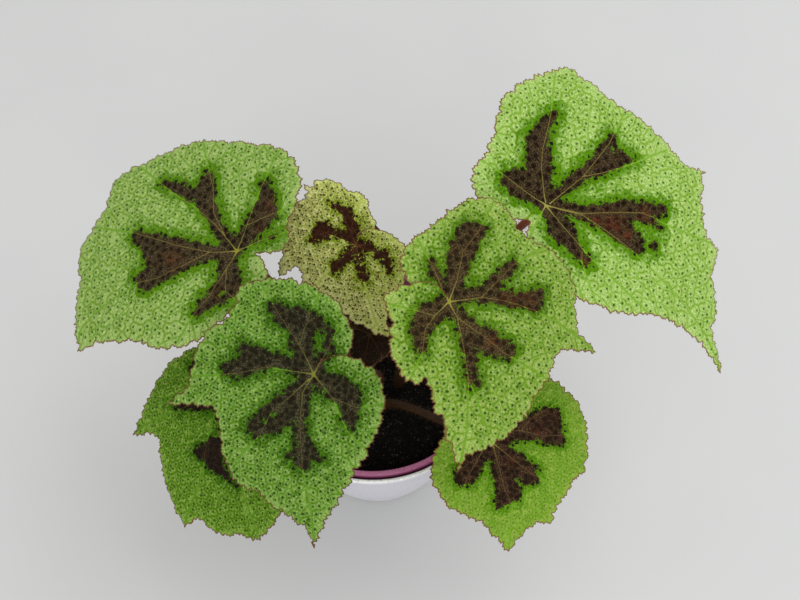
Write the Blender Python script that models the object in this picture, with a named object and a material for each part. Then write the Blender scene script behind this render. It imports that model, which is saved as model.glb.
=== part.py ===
"""Potted iron cross begonia: a rosette of eight palmate leaves in a nursery pot inside a white pot.

Sizes are in millimetres and the scene in metres.  The origin is the centre of the outer pot's flat base, +Z is up and the
front of the plant looks along -Y.  Every leaf blade, leaf stalk, the rhizome, the soil and both
pots are closed solids of their own, with a 0.3 mm gap wherever one rests in or on another.
"""
import math

import bmesh
import bpy
from mathutils import Vector

MM = 0.001
SEAT_GAP = 0.3

# outer pot, a tapered cover pot with a thin rounded rim
POT_HEIGHT = 104.0
POT_RIM_RADIUS = 66.0
POT_BASE_RADIUS = 41.0
POT_WALL = 2.6
POT_FLOOR = 4.0
POT_BULGE = 0.85
POT_SIDES = 60

# nursery pot standing inside the outer pot
NURSERY_TOP = 102.4
NURSERY_LIP_HEIGHT = 4.0
NURSERY_LIP_OUTER = 61.8
NURSERY_LIP_INNER = 58.4
NURSERY_TOP_RADIUS = 60.6
NURSERY_BASE_RADIUS = 36.4
NURSERY_WALL = 1.4
NURSERY_FLOOR = 1.6
NURSERY_SIDES = 60

# soil
SOIL_TOP = 87.0
SOIL_LUMP = 1.3
SOIL_SIDES = 48
HOLE_DEPTH = 21.0
STALK_IN_SOIL = 20.0

# rhizome, a short thick stem standing in the soil among the stalks
RHIZOME_RADIUS = 5.0
RHIZOME_TOP = 96.0
RHIZOME_PLACE = (0.0, -1.0)

# leaf blades
BLADE_THICKNESS = 0.9
TOOTH_HEIGHT = 0.8
SMALL_LEAF = 30.0
RING_COUNTS = (112, 56, 56, 56, 28, 14)
RING_SHARES = (1.0, 0.9, 0.73, 0.52, 0.3, 0.13)
SMALL_RING_COUNTS = (56, 28, 28, 14, 14)
SMALL_RING_SHARES = (1.0, 0.85, 0.6, 0.35, 0.15)
FUNNEL_SHARE = 0.28
SPIKE_WIDTH = 4.0
SHARP_ANGLE = 42.0


class Leaf:
    """Sizes of one leaf: where its blade sits, how it leans, its outline and its stalk."""

    def __init__(self, name, hub, bearing, face, tilt, size, lift, droop, tip_droop, wave,
                 outline, spikes, veins, foot, foot_lean, reach, stalk_radius):
        self.name = name
        self.hub = Vector(hub)
        self.bearing = bearing
        self.face = face
        self.tilt = tilt
        self.size = size
        self.lift = lift
        self.droop = droop
        self.tip_droop = tip_droop
        self.wave = wave
        self.outline = outline
        self.spikes = spikes
        self.veins = veins
        self.foot = foot
        self.foot_lean = foot_lean
        self.reach = reach
        self.stalk_radius = stalk_radius


# outline: (angle in degrees round the hub from the midrib, radius in mm)
# spikes: (angle, extra length); veins: angles of the main veins
LEAVES = (
    Leaf("a", (-64, 22, 184), -156, 215, 18, 85, 6, 7, 4, 1.6,
         ((0, 88), (10, 67), (22, 59), (34, 52), (47, 45), (61, 34), (76, 28), (110, 22),
          (132, 19), (144, 11), (151, 25), (165, 30), (183, 33), (192, 40), (205, 49),
          (222, 55), (247, 58), (271, 69), (285, 75), (298, 84), (315, 84), (328, 89),
          (345, 88)),
         ((0, 7),), (0, 33, 95, 167, 221, 263, 292, 319, 349),
         (-15, 6), (-0.28, 0.08), (42, 48), 2.5),
    Leaf("b", (-8, 36, 168), -67, -80, 28, 45, 4, 6, 4, 1.2,
         ((0, 44), (12, 33), (34, 32), (52, 27), (71, 25), (90, 19), (108, 13), (121, 16),
          (148, 24), (170, 31), (193, 37), (212, 36), (228, 37), (245, 34), (258, 36),
          (273, 38), (288, 32), (312, 27), (325, 31), (337, 38)),
         ((0, 6), (200, 4), (273, 3)), (31, 80, 150, 189, 231, 296, 349),
         (-4, 18), (0.0, 0.20), (30, 28), 1.8),
    Leaf("c", (35, -22, 212), -9, -55, 24, 62, 5, 7, 4, 1.3,
         ((0, 66), (13, 61), (31, 59), (45, 52), (63, 50), (75, 52), (90, 47), (105, 39),
          (120, 33), (143, 30), (160, 27), (177, 20), (188, 27), (199, 29), (215, 27),
          (230, 33), (245, 38), (260, 39), (272, 41), (281, 52), (290, 64), (301, 64),
          (313, 60), (322, 63), (338, 56), (350, 56)),
         ((0, 8), (289, 9)), (20, 43, 79, 135, 197, 257, 297, 338),
         (13, -3), (0.10, -0.05), (60, 44), 2.3),
    Leaf("d", (-24, -45, 188), -91, -105, 28, 68, 5, 7, 5, 1.4,
         ((0, 71), (10, 60), (28, 46), (43, 42), (58, 40), (72, 36), (92, 29), (108, 24),
          (118, 18), (134, 25), (148, 30), (168, 38), (186, 42), (206, 48), (219, 51),
          (232, 48), (250, 53), (268, 57), (281, 63), (289, 49), (299, 49), (311, 54),
          (326, 59), (340, 62), (353, 69)),
         ((0, 9), (282, 8)), (0, 38, 73, 155, 174, 212, 268, 317),
         (-9, -13), (-0.08, -0.12), (46, 42), 2.4),
    Leaf("e", (-77, -21, 122), -111, 215, 24, 62, 4, 9, 4, 1.4,
         ((0, 66), (8, 67), (20, 73), (34, 76), (49, 69), (70, 58), (95, 46), (125, 36),
          (160, 28), (185, 14), (205, 24), (238, 28), (253, 31), (270, 38), (285, 41),
          (300, 50), (311, 56), (322, 46), (335, 50), (348, 60)),
         ((1, 6), (311, 3)), (0, 32, 72, 125, 222, 268, 310),
         (-18, -5), (-0.28, -0.08), (32, 14), 2.2),
    Leaf("f", (60, -51, 122), -80, -60, 20, 55, 4, 8, 4, 1.3,
         ((0, 47), (9, 46), (18, 45), (27, 48), (40, 42), (55, 44), (70, 50), (90, 49),
          (110, 49), (127, 47), (150, 42), (175, 36), (200, 26), (222, 14), (240, 24),
          (258, 25), (274, 30), (292, 35), (310, 38), (327, 38), (341, 39), (350, 45)),
         ((0, 6),), (2, 48, 90, 130, 180, 279, 322),
         (4, -17), (0.40, -0.12), (20, 14), 2.2),
    Leaf("g", (82, 34, 205), -35, -50, 22, 92, 7, 8, 5, 1.8,
         ((0, 106), (7, 103), (17, 96), (30, 90), (42, 84), (54, 85), (64, 74), (76, 70),
          (90, 64), (106, 66), (117, 71), (131, 65), (145, 57), (157, 51), (168, 43),
          (184, 39), (198, 40), (214, 36), (233, 24), (258, 14), (278, 33), (300, 42),
          (322, 47), (337, 57), (350, 69), (356, 82)),
         ((0, 14), (29, 3), (54, 5)), (13, 35, 65, 87, 123, 189, 280, 345),
         (14, 9), (0.26, 0.10), (50, 52), 2.5),
    Leaf("h", (-2, 8, 126), -105, -80, 38, 22, 3, 3, 3, 0.6,
         ((0, 19), (30, 16), (60, 14), (95, 13), (140, 11), (178, 6), (218, 11), (262, 13),
          (305, 14), (335, 16)),
         ((0, 3),), (0, 45, 100, 255, 310),
         (5, 15), (-0.02, -0.05), (12, 12), 1.6),
)

# base colour and roughness of each kind of surface
SURFACES = {
    "outer_pot": ((0.56, 0.55, 0.57), 0.35),
    "nursery_pot": ((0.26, 0.085, 0.16), 0.45),
    "soil": ((0.012, 0.010, 0.008), 0.95),
    "rhizome": ((0.16, 0.06, 0.035), 0.8),
    "petiole": ((0.22, 0.07, 0.045), 0.75),
    "blade": ((0.21, 0.38, 0.07), 0.6),
    "blade_h": ((0.10, 0.02, 0.022), 0.6),
}


def clear_scene():
    """Remove whatever the start-up scene holds."""
    for thing in list(bpy.data.objects):
        bpy.data.objects.remove(thing, do_unlink=True)


def surface_of(name):
    """Material for a node, one of its own."""
    kind = name if name in SURFACES else name.split("_")[0]
    colour, roughness = SURFACES.get(kind, SURFACES["soil"])
    material = bpy.data.materials.new(name)
    material.use_nodes = True
    shader = material.node_tree.nodes["Principled BSDF"]
    shader.inputs["Base Color"].default_value = (*colour, 1.0)
    shader.inputs["Roughness"].default_value = roughness
    return material


def add_object(name, points, faces, place=(0.0, 0.0, 0.0)):
    """Add a closed mesh with its normals facing out, its own origin at place."""
    mesh = bpy.data.meshes.new(name)
    origin = Vector(place)
    mesh.from_pydata([tuple((Vector(p) - origin) * MM) for p in points], [], faces)
    body = bmesh.new()
    body.from_mesh(mesh)
    bmesh.ops.recalc_face_normals(body, faces=body.faces)
    bmesh.ops.triangulate(body, faces=body.faces)
    body.to_mesh(mesh)
    body.free()
    mesh.update()
    mesh.shade_smooth()
    mesh.set_sharp_from_angle(angle=math.radians(SHARP_ANGLE))
    thing = bpy.data.objects.new(name, mesh)
    thing.location = origin * MM
    bpy.context.scene.collection.objects.link(thing)
    mesh.materials.append(surface_of(name))
    return thing


def turned_solid(name, profile, sides):
    """Turn a profile of (radius, height) pairs that starts and ends on the axis."""
    points, faces, rings = [], [], []
    for radius, height in profile:
        if radius < 1e-6:
            rings.append([len(points)])
            points.append((0.0, 0.0, height))
            continue
        ring = []
        for i in range(sides):
            turn = 2.0 * math.pi * i / sides
            ring.append(len(points))
            points.append((radius * math.cos(turn), radius * math.sin(turn), height))
        rings.append(ring)
    for low, high in zip(rings, rings[1:]):
        for i in range(sides):
            j = (i + 1) % sides
            if len(low) == 1:
                faces.append((low[0], high[i], high[j]))
            elif len(high) == 1:
                faces.append((low[i], low[j], high[0]))
            else:
                faces.append((low[i], low[j], high[j], high[i]))
    return add_object(name, points, faces)


def pot_radius(height):
    """Outer radius of the outer pot at a height."""
    share = max(0.0, height) / POT_HEIGHT
    return POT_BASE_RADIUS + (POT_RIM_RADIUS - POT_BASE_RADIUS) * share ** POT_BULGE


def outer_pot():
    """Tapered cover pot with a flat base and a thin rounded rim."""
    outside = [(pot_radius(0) - 1.6, 0.0), (pot_radius(0) - 0.3, 0.5)]
    outside += [(pot_radius(z), z) for z in (2.0, 20.0, 45.0, 72.0, 100.0)]
    rim = [(POT_RIM_RADIUS, POT_HEIGHT - 1.4), (POT_RIM_RADIUS - 0.5, POT_HEIGHT - 0.35),
           (POT_RIM_RADIUS - 1.3, POT_HEIGHT), (POT_RIM_RADIUS - 2.1, POT_HEIGHT - 0.35)]
    inside = [(pot_radius(z) - POT_WALL, z) for z in (100.0, 72.0, 45.0, 20.0, 8.0)]
    floor = [(pot_radius(POT_FLOOR) - POT_WALL - 1.0, POT_FLOOR + 0.6),
             (pot_radius(POT_FLOOR) - POT_WALL - 2.6, POT_FLOOR), (0.0, POT_FLOOR)]
    return turned_solid("outer_pot", [(0.0, 0.0)] + outside + rim + inside + floor, POT_SIDES)


def nursery_radius(height):
    """Outer radius of the nursery pot's wall at a height."""
    low = POT_FLOOR + SEAT_GAP
    share = (height - low) / (NURSERY_TOP - low)
    return NURSERY_BASE_RADIUS + (NURSERY_TOP_RADIUS - NURSERY_BASE_RADIUS) * share


def nursery_pot():
    """Thin inner pot with a rolled lip."""
    low = POT_FLOOR + SEAT_GAP
    under_lip = NURSERY_TOP - NURSERY_LIP_HEIGHT
    profile = [(0.0, low), (NURSERY_BASE_RADIUS - 1.0, low), (nursery_radius(low + 1.0), low + 1.0),
               (nursery_radius(50.0), 50.0), (nursery_radius(under_lip), under_lip),
               (NURSERY_LIP_OUTER, under_lip + 0.4), (NURSERY_LIP_OUTER, NURSERY_TOP - 0.9),
               (NURSERY_LIP_OUTER - 0.9, NURSERY_TOP), (NURSERY_LIP_INNER + 0.7, NURSERY_TOP - 0.1),
               (NURSERY_LIP_INNER, NURSERY_TOP - 0.9),
               (nursery_radius(92.0) - NURSERY_WALL, 92.0),
               (nursery_radius(50.0) - NURSERY_WALL, 50.0),
               (nursery_radius(low + 4.0) - NURSERY_WALL, low + 4.0),
               (NURSERY_BASE_RADIUS - 2.6, low + NURSERY_FLOOR), (0.0, low + NURSERY_FLOOR)]
    return turned_solid("nursery_pot", profile, NURSERY_SIDES)


def soil_height(x, y):
    """Height of the lumpy soil surface."""
    lumps = math.sin(0.21 * x + 0.6) * math.cos(0.17 * y - 0.3)
    lumps += 0.6 * math.sin(0.43 * x - 0.35 * y + 1.1) + 0.35 * math.cos(0.71 * y + 0.52 * x)
    return SOIL_TOP + SOIL_LUMP * lumps * 0.6


def soil():
    """Soil that fills the nursery pot, with a plain hole for every stalk."""
    bottom = POT_FLOOR + SEAT_GAP + NURSERY_FLOOR + SEAT_GAP
    inset = NURSERY_WALL + SEAT_GAP + 0.05
    points, rings = [], []
    points.append((0.0, 0.0, bottom))
    rings.append([0])
    walls = [(NURSERY_BASE_RADIUS - 3.4, bottom), (nursery_radius(bottom + 4.2) - inset, bottom + 4.2),
             (nursery_radius(46.0) - inset, 46.0), (nursery_radius(SOIL_TOP - 3.0) - inset, None)]
    top_radius = nursery_radius(SOIL_TOP - 3.0) - inset
    tops = [(top_radius * share, None) for share in (0.94, 0.82, 0.68, 0.53, 0.38, 0.22)]
    for radius, height in walls + tops:
        ring = []
        for i in range(SOIL_SIDES):
            turn = 2.0 * math.pi * i / SOIL_SIDES
            x, y = radius * math.cos(turn), radius * math.sin(turn)
            z = soil_height(x, y) if height is None else height
            if height is None and radius > 0.97 * top_radius:
                z = SOIL_TOP - 2.2 + 0.4 * math.sin(5 * turn)
            ring.append(len(points))
            points.append((x, y, z))
        rings.append(ring)
    rings.append([len(points)])
    points.append((0.0, 0.0, soil_height(0.0, 0.0)))
    faces = []
    for low, high in zip(rings, rings[1:]):
        for i in range(SOIL_SIDES):
            j = (i + 1) % SOIL_SIDES
            if len(low) == 1:
                faces.append((low[0], high[i], high[j]))
            elif len(high) == 1:
                faces.append((low[i], low[j], high[0]))
            else:
                faces.append((low[i], low[j], high[j], high[i]))
    block = add_object("soil", points, faces)
    drill_holes(block)
    return block


def tube(name, centres, radii, sides):
    """Closed tube through a list of centres, its own origin at the first."""
    points, faces = [], []
    side = Vector((0.0, 1.0, 0.0))
    count = len(centres)
    for i, (centre, radius) in enumerate(zip(centres, radii)):
        along = (centres[min(i + 1, count - 1)] - centres[max(i - 1, 0)]).normalized()
        side = (side - along * side.dot(along)).normalized()
        other = along.cross(side)
        for k in range(sides):
            turn = 2.0 * math.pi * k / sides
            points.append(centre + side * (radius * math.cos(turn)) + other * (radius * math.sin(turn)))
    for i in range(count - 1):
        for k in range(sides):
            m = (k + 1) % sides
            faces.append((i * sides + k, i * sides + m, (i + 1) * sides + m, (i + 1) * sides + k))
    faces.append(tuple(range(sides)))
    faces.append(tuple((count - 1) * sides + k for k in range(sides)))
    return add_object(name, points, faces, centres[0])


def leaf_axes(leaf):
    """Midrib direction, sideways direction and normal of a blade."""
    face, tilt, bearing = (math.radians(a) for a in (leaf.face, leaf.tilt, leaf.bearing))
    normal = Vector((math.sin(tilt) * math.cos(face), math.sin(tilt) * math.sin(face), math.cos(tilt)))
    along = Vector((math.cos(bearing), math.sin(bearing), 0.0))
    along.z = -(normal.x * along.x + normal.y * along.y) / normal.z
    along.normalize()
    return along, normal.cross(along), normal


def angle_between(a, b):
    """Smallest difference of two angles in degrees, with its sign."""
    return (a - b + 180.0) % 360.0 - 180.0


def outline_radius(leaf, angle):
    """Radius of the blade's outline at an angle, without its teeth."""
    stations = leaf.outline
    angle %= 360.0
    count = len(stations)
    index = max(i for i in range(count) if stations[i][0] <= angle)
    spans, rises = [], []
    for step in (-1, 0, 1):
        a0, r0 = stations[(index + step) % count]
        a1, r1 = stations[(index + step + 1) % count]
        span = (a1 - a0) % 360.0
        spans.append(span)
        rises.append((r1 - r0) / span)
    slopes = []
    for left, right in ((0, 1), (1, 2)):
        product = rises[left] * rises[right]
        slopes.append(0.0 if product <= 0.0 else 2.0 * product / (rises[left] + rises[right]))
    start, radius = stations[index]
    t = (angle - start) / spans[1]
    end = stations[(index + 1) % count][1]
    value = (2 * t ** 3 - 3 * t ** 2 + 1) * radius + (t ** 3 - 2 * t ** 2 + t) * spans[1] * slopes[0]
    value += (3 * t ** 2 - 2 * t ** 3) * end + (t ** 3 - t ** 2) * spans[1] * slopes[1]
    for where, extra in leaf.spikes:
        value += extra * math.exp(-(angle_between(angle, where) / SPIKE_WIDTH) ** 2)
    return value


def pleat(leaf, angle):
    """0 on a main vein, 1 halfway between two main veins."""
    veins = leaf.veins
    nearest = min(abs(angle_between(angle, v)) for v in veins)
    ahead = min((v - angle) % 360.0 for v in veins)
    behind = min((angle - v) % 360.0 for v in veins)
    half = max(8.0, 0.5 * (ahead + behind))
    return math.sin(0.5 * math.pi * min(1.0, nearest / half))


def blade_height(leaf, radius, angle):
    """Height of the blade's surface above the plane through its hub."""
    turn = math.radians(angle)
    share = radius / leaf.size
    height = leaf.lift * (1.0 - math.exp(-(share / FUNNEL_SHARE) ** 2))
    height -= leaf.droop * share ** 2
    height -= leaf.tip_droop * max(0.0, math.cos(turn)) ** 3 * share ** 2
    height += leaf.wave * share ** 2 * math.sin(7.0 * turn + leaf.bearing)
    height += 0.03 * leaf.size * pleat(leaf, angle) * share * max(0.0, 1.15 - share)
    return height


def blade_point(leaf, axes, radius, angle, drop):
    """Point of the blade, on its upper face when drop is 0."""
    along, across, normal = axes
    turn = math.radians(angle)
    flat = along * (radius * math.cos(turn)) + across * (radius * math.sin(turn))
    return leaf.hub + flat + normal * (blade_height(leaf, radius, angle) - drop)


def edge_radius(leaf, index, count):
    """Outline radius at one of the points of the toothed edge."""
    angle = 360.0 * index / count
    radius = outline_radius(leaf, angle)
    uneven = 0.75 + 0.25 * math.sin(2.3 * index + leaf.bearing)
    tooth = TOOTH_HEIGHT * uneven * min(1.0, radius / 30.0)
    return radius + (tooth if index % 2 == 0 else -tooth)


def ring_faces(outer, inner):
    """Triangles between two rings, the inner with as many or half as many points."""
    faces = []
    count, few = len(outer), len(inner)
    if count == few:
        for i in range(count):
            j = (i + 1) % count
            faces.append((outer[i], outer[j], inner[i]))
            faces.append((outer[j], inner[j], inner[i]))
        return faces
    for i in range(few):
        j = (i + 1) % few
        a, b, c = outer[2 * i], outer[2 * i + 1], outer[(2 * i + 2) % count]
        faces += [(a, b, inner[i]), (b, inner[j], inner[i]), (b, c, inner[j])]
    return faces


def blade(leaf):
    """Toothed, waved blade: two like faces a thickness apart, joined round the edge."""
    axes = leaf_axes(leaf)
    small = leaf.size < SMALL_LEAF
    shares = SMALL_RING_SHARES if small else RING_SHARES
    counts = SMALL_RING_COUNTS if small else RING_COUNTS
    spots, rings = [], []
    for share, count in zip(shares, counts):
        ring = []
        for i in range(count):
            angle = 360.0 * i / count
            if share == 1.0:
                radius = edge_radius(leaf, i, count)
            else:
                radius = share * (outline_radius(leaf, angle) - 1.0)
            ring.append(len(spots))
            spots.append((radius, angle))
        rings.append(ring)
    hub = len(spots)
    spots.append((0.0, 0.0))
    faces = []
    for outer, inner in zip(rings, rings[1:]):
        faces += ring_faces(outer, inner)
    last = rings[-1]
    faces += [(last[i], last[(i + 1) % len(last)], hub) for i in range(len(last))]
    total = len(spots)
    points = [blade_point(leaf, axes, r, a, 0.0) for r, a in spots]
    points += [blade_point(leaf, axes, r, a, BLADE_THICKNESS) for r, a in spots]
    solid = list(faces) + [(a + total, c + total, b + total) for a, b, c in faces]
    rim = rings[0]
    for i in range(len(rim)):
        a, b = rim[i], rim[(i + 1) % len(rim)]
        solid += [(a, a + total, b), (b, a + total, b + total)]
    return add_object("blade_" + leaf.name, points, solid, leaf.hub)


def stalk_line(leaf):
    """Centre line of a leaf stalk, from the bottom of its hole to just below the hub."""
    normal = leaf_axes(leaf)[2]
    lean = Vector((leaf.foot_lean[0], leaf.foot_lean[1], 1.0)).normalized()
    foot = Vector((leaf.foot[0], leaf.foot[1], SOIL_TOP))
    start = foot + lean * 6.0
    end = leaf.hub - normal * (BLADE_THICKNESS + 2.8 * SEAT_GAP)
    out, back = leaf.reach
    p1, p2 = start + lean * out, end - normal * back
    line = [foot - lean * (STALK_IN_SOIL - 0.7), start]
    for i in range(1, 11):
        t = i / 10.0
        line.append(start * (1 - t) ** 3 + p1 * (3 * t * (1 - t) ** 2)
                    + p2 * (3 * t * t * (1 - t)) + end * t ** 3)
    return line


def stalk(leaf):
    """Round stalk, thinning to its top."""
    line = stalk_line(leaf)
    top = 0.72 * leaf.stalk_radius
    radii = [leaf.stalk_radius, leaf.stalk_radius]
    for i in range(1, 11):
        radii.append(leaf.stalk_radius + (top - leaf.stalk_radius) * i / 10.0)
    line.insert(1, line[0] + (line[1] - line[0]) * 0.5)
    radii.insert(1, leaf.stalk_radius)
    return tube("petiole_" + leaf.name, line, radii, 8)


def rhizome():
    """Short knobbly stem with a rounded top."""
    x, y = RHIZOME_PLACE
    steps = ((RHIZOME_TOP - 28.0, 1.0), (SOIL_TOP - 4.0, 1.0), (SOIL_TOP + 3.0, 1.0),
             (SOIL_TOP + 5.0, 0.9), (SOIL_TOP + 7.0, 0.98), (RHIZOME_TOP - 1.2, 0.72),
             (RHIZOME_TOP, 0.35))
    centres = [Vector((x, y, z)) for z, _ in steps]
    return tube("rhizome", centres, [RHIZOME_RADIUS * share for _, share in steps], 16)


def hole_cutter(name, low, high, radius, sides):
    """Plain round cutter between two points."""
    cutter = tube(name, [low, high], [radius, radius], sides)
    cutter.hide_render = True
    cutter.display_type = "WIRE"
    return cutter


def drill_holes(block):
    """Cut a plain round hole for each stalk and for the rhizome."""
    cutters = bpy.data.collections.new("hole_cutters")
    bpy.context.scene.collection.children.link(cutters)
    for leaf in LEAVES:
        lean = Vector((leaf.foot_lean[0], leaf.foot_lean[1], 1.0)).normalized()
        foot = Vector((leaf.foot[0], leaf.foot[1], SOIL_TOP))
        radius = leaf.stalk_radius + SEAT_GAP + 0.15
        cutter = hole_cutter("cut_" + leaf.name, foot - lean * HOLE_DEPTH * 0.985,
                             foot + lean * 8.0, radius, 16)
        bpy.context.scene.collection.objects.unlink(cutter)
        cutters.objects.link(cutter)
    x, y = RHIZOME_PLACE
    wide = hole_cutter("cut_rhizome", Vector((x, y, RHIZOME_TOP - 28.0 - SEAT_GAP)),
                       Vector((x, y, RHIZOME_TOP + 5.0)), RHIZOME_RADIUS + SEAT_GAP + 0.15, 20)
    bpy.context.scene.collection.objects.unlink(wide)
    cutters.objects.link(wide)
    cut = block.modifiers.new("holes", "BOOLEAN")
    cut.operation = "DIFFERENCE"
    cut.operand_type = "COLLECTION"
    cut.collection = cutters
    cut.solver = "EXACT"
    applied = bpy.data.meshes.new_from_object(block.evaluated_get(
        bpy.context.evaluated_depsgraph_get()))
    block.modifiers.remove(cut)
    block.data = applied
    for cutter in list(cutters.objects):
        bpy.data.objects.remove(cutter, do_unlink=True)
    bpy.data.collections.remove(cutters)


def main():
    """Build every part and hang it under one empty."""
    clear_scene()
    pieces = [outer_pot(), nursery_pot(), soil(), rhizome()]
    for leaf in LEAVES:
        pieces += [stalk(leaf), blade(leaf)]
    plant = bpy.data.objects.new("begonia", None)
    bpy.context.scene.collection.objects.link(plant)
    for piece in pieces:
        piece.parent = plant


main()
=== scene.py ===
"""Potted iron cross begonia: fine leaves, hairy stalks, peat and two pots over the CAD frame.

Sizes are in millimetres unless a name says otherwise, and the scene is in metres.  The origin is
the centre of the outer pot's base, +Z is up and the front of the plant looks along -Y.
"""
from __future__ import annotations

import logging
import math
from dataclasses import dataclass
from enum import Enum
from functools import partial

import bpy
import numpy as np
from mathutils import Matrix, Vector
from mathutils.geometry import delaunay_2d_cdt
from mathutils.kdtree import KDTree

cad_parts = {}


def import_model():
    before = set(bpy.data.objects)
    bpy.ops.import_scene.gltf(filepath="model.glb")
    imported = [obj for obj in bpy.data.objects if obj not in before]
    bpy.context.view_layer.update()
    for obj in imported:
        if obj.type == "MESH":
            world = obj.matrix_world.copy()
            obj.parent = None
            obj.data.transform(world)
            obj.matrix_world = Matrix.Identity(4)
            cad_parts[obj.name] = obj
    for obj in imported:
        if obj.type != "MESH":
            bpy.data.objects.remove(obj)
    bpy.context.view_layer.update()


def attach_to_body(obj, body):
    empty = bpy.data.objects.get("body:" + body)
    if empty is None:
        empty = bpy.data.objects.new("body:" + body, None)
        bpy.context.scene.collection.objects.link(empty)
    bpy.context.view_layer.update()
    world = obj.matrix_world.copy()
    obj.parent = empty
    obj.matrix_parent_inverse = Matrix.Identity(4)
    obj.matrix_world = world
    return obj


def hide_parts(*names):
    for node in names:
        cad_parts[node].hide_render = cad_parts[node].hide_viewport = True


LOG = logging.getLogger("begonia")
MM = 0.001

SEAT_GAP = 0.3
SOIL_TOP = 87.0
BLADE_THICKNESS = 0.9
FUNNEL_SHARE = 0.28

# spacing of the points on the margin, on the veins and inside the underside
MARGIN_STEP = 0.42
VEIN_STEP = 0.38
UNDER_STEP = 1.35
# teeth on the margin, fine to coarse: pitch, spread of the pitch, height, place of the peak, bluntness
TEETH = ((1.9, 0.45, 1.2, 0.7, 1.0), (5.2, 0.45, 2.1, 0.65, 0.7), (12.0, 0.35, 1.8, 0.5, 0.55))
# how far the bristles keep from the margin and from a main vein
MARGIN_CLEAR = 1.1
VEIN_CLEAR = 0.75
# height of the mound under a bristle, as a share of the bristles' spacing, and of the puffed cells
MOUND = 0.085
PUFF = 0.42
# heights in the skin: the margin's waves, the cells between the larger veins, those between the fine ones
MARGIN_WAVE = 0.45
CELL_PUFF = 0.45
NET_PUFF = 0.4
# softness of the joins between the arms of the cross
CROSS_BLEND = 0.6
# bend of a hair, and the turn that spins it
HAIR_BEND = 2.2
FULL_TURN = 6.283

Path = tuple[tuple[float, ...], ...]


def colour(code: str) -> tuple[float, float, float, float]:
    """Linear colour of an sRGB hex code.

    Args:
        code: Six hex digits.

    Returns:
        Red, green, blue and an alpha of one.
    """
    parts = [int(code[i:i + 2], 16) / 255.0 for i in (0, 2, 4)]
    line = [p / 12.92 if p <= 0.04045 else ((p + 0.055) / 1.055) ** 2.4 for p in parts]
    return line[0], line[1], line[2], 1.0


def fill(node: bpy.types.Node, values: dict) -> None:
    """Set or link inputs of a node, each by its name or by its place among those in use."""
    used = [socket for socket in node.inputs if socket.enabled]
    for key, value in values.items():
        socket = used[key] if isinstance(key, int) else node.inputs[key]
        if isinstance(value, bpy.types.NodeSocket):
            node.id_data.links.new(value, socket)
        else:
            socket.default_value = value


def add_node(tree: bpy.types.NodeTree, kind: str, *values, out: int = 0,
             **settings) -> bpy.types.NodeSocket | None:
    """Add a node with its settings, values and links.

    Args:
        tree: Shader or geometry tree.
        kind: Blender's name of the node type, which may leave out ShaderNode.
        *values: Value or output socket for each input in use, from the first on.
        out: Place of the output to hand back, among those in use.
        **settings: Properties of the node, and with a capital more of its inputs by name.

    Returns:
        The chosen output, or None where the node has none.
    """
    node = tree.nodes.new(kind if "Node" in kind else "ShaderNode" + kind)
    named = {key: value for key, value in settings.items() if key[0].isupper()}
    for key, value in settings.items():
        if key not in named:
            setattr(node, key, value)
    fill(node, {**dict(enumerate(values)), **named})
    outputs = [socket for socket in node.outputs if socket.enabled]
    return outputs[out] if outputs else None


def new_material(name: str) -> tuple[bpy.types.Material, partial, bpy.types.Node]:
    """New material, the function that adds a node to it, and its Principled shader."""
    material = bpy.data.materials.new(name)
    material.use_nodes = True
    tree = material.node_tree
    return material, partial(add_node, tree), tree.nodes["Principled BSDF"]


def make_object(name: str, points: np.ndarray, faces: list[np.ndarray], material: bpy.types.Material,
                sharp: float | None = None) -> bpy.types.Object:
    """Mesh object with its place in its vertices.

    Args:
        name: Name of the piece.
        points: Corners in millimetres, one row each.
        faces: Blocks of faces, each a row of indices, as many to a row as the faces have corners.
        material: Finish of the piece.
        sharp: Angle in degrees over which an edge is shaded sharp.

    Returns:
        The new object, at the origin.
    """
    mesh = bpy.data.meshes.new(name)
    mesh.vertices.add(len(points))
    mesh.vertices.foreach_set("co", (points * MM).astype(np.float32).ravel())
    if faces:
        corners = np.concatenate([np.full(len(block), block.shape[1]) for block in faces])
        mesh.loops.add(int(corners.sum()))
        mesh.loops.foreach_set("vertex_index",
                               np.concatenate([block.ravel() for block in faces]).astype(np.int32))
        mesh.polygons.add(len(corners))
        mesh.polygons.foreach_set("loop_start", (np.cumsum(corners) - corners).astype(np.int32))
    mesh.update(calc_edges=True)
    mesh.shade_smooth()
    if sharp is not None:
        mesh.set_sharp_from_angle(angle=math.radians(sharp))
    mesh.materials.append(material)
    thing = bpy.data.objects.new(name, mesh)
    bpy.context.scene.collection.objects.link(thing)
    return thing


def mark(thing: bpy.types.Object, key: str, values: np.ndarray) -> None:
    """Store a number or a vector at every point of a mesh."""
    kind, field = ("FLOAT", "value") if values.ndim == 1 else ("FLOAT_VECTOR", "vector")
    thing.data.attributes.new(key, kind, "POINT").data.foreach_set(field, values.astype(np.float32).ravel())


def attach(piece: bpy.types.Object, node: str | None = None) -> None:
    """Let a piece ride on the plant, and replace a node where one is given."""
    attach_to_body(piece, "root")
    if node:
        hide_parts(node)
    LOG.info("%s: %d faces", piece.name, len(piece.data.polygons))


def circle(radius: float, height: float, sides: int) -> np.ndarray:
    """Points of a level ring round the Z axis."""
    turns = np.arange(sides) * 2.0 * np.pi / sides
    return np.column_stack((radius * np.cos(turns), radius * np.sin(turns), np.full(sides, height)))


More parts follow.
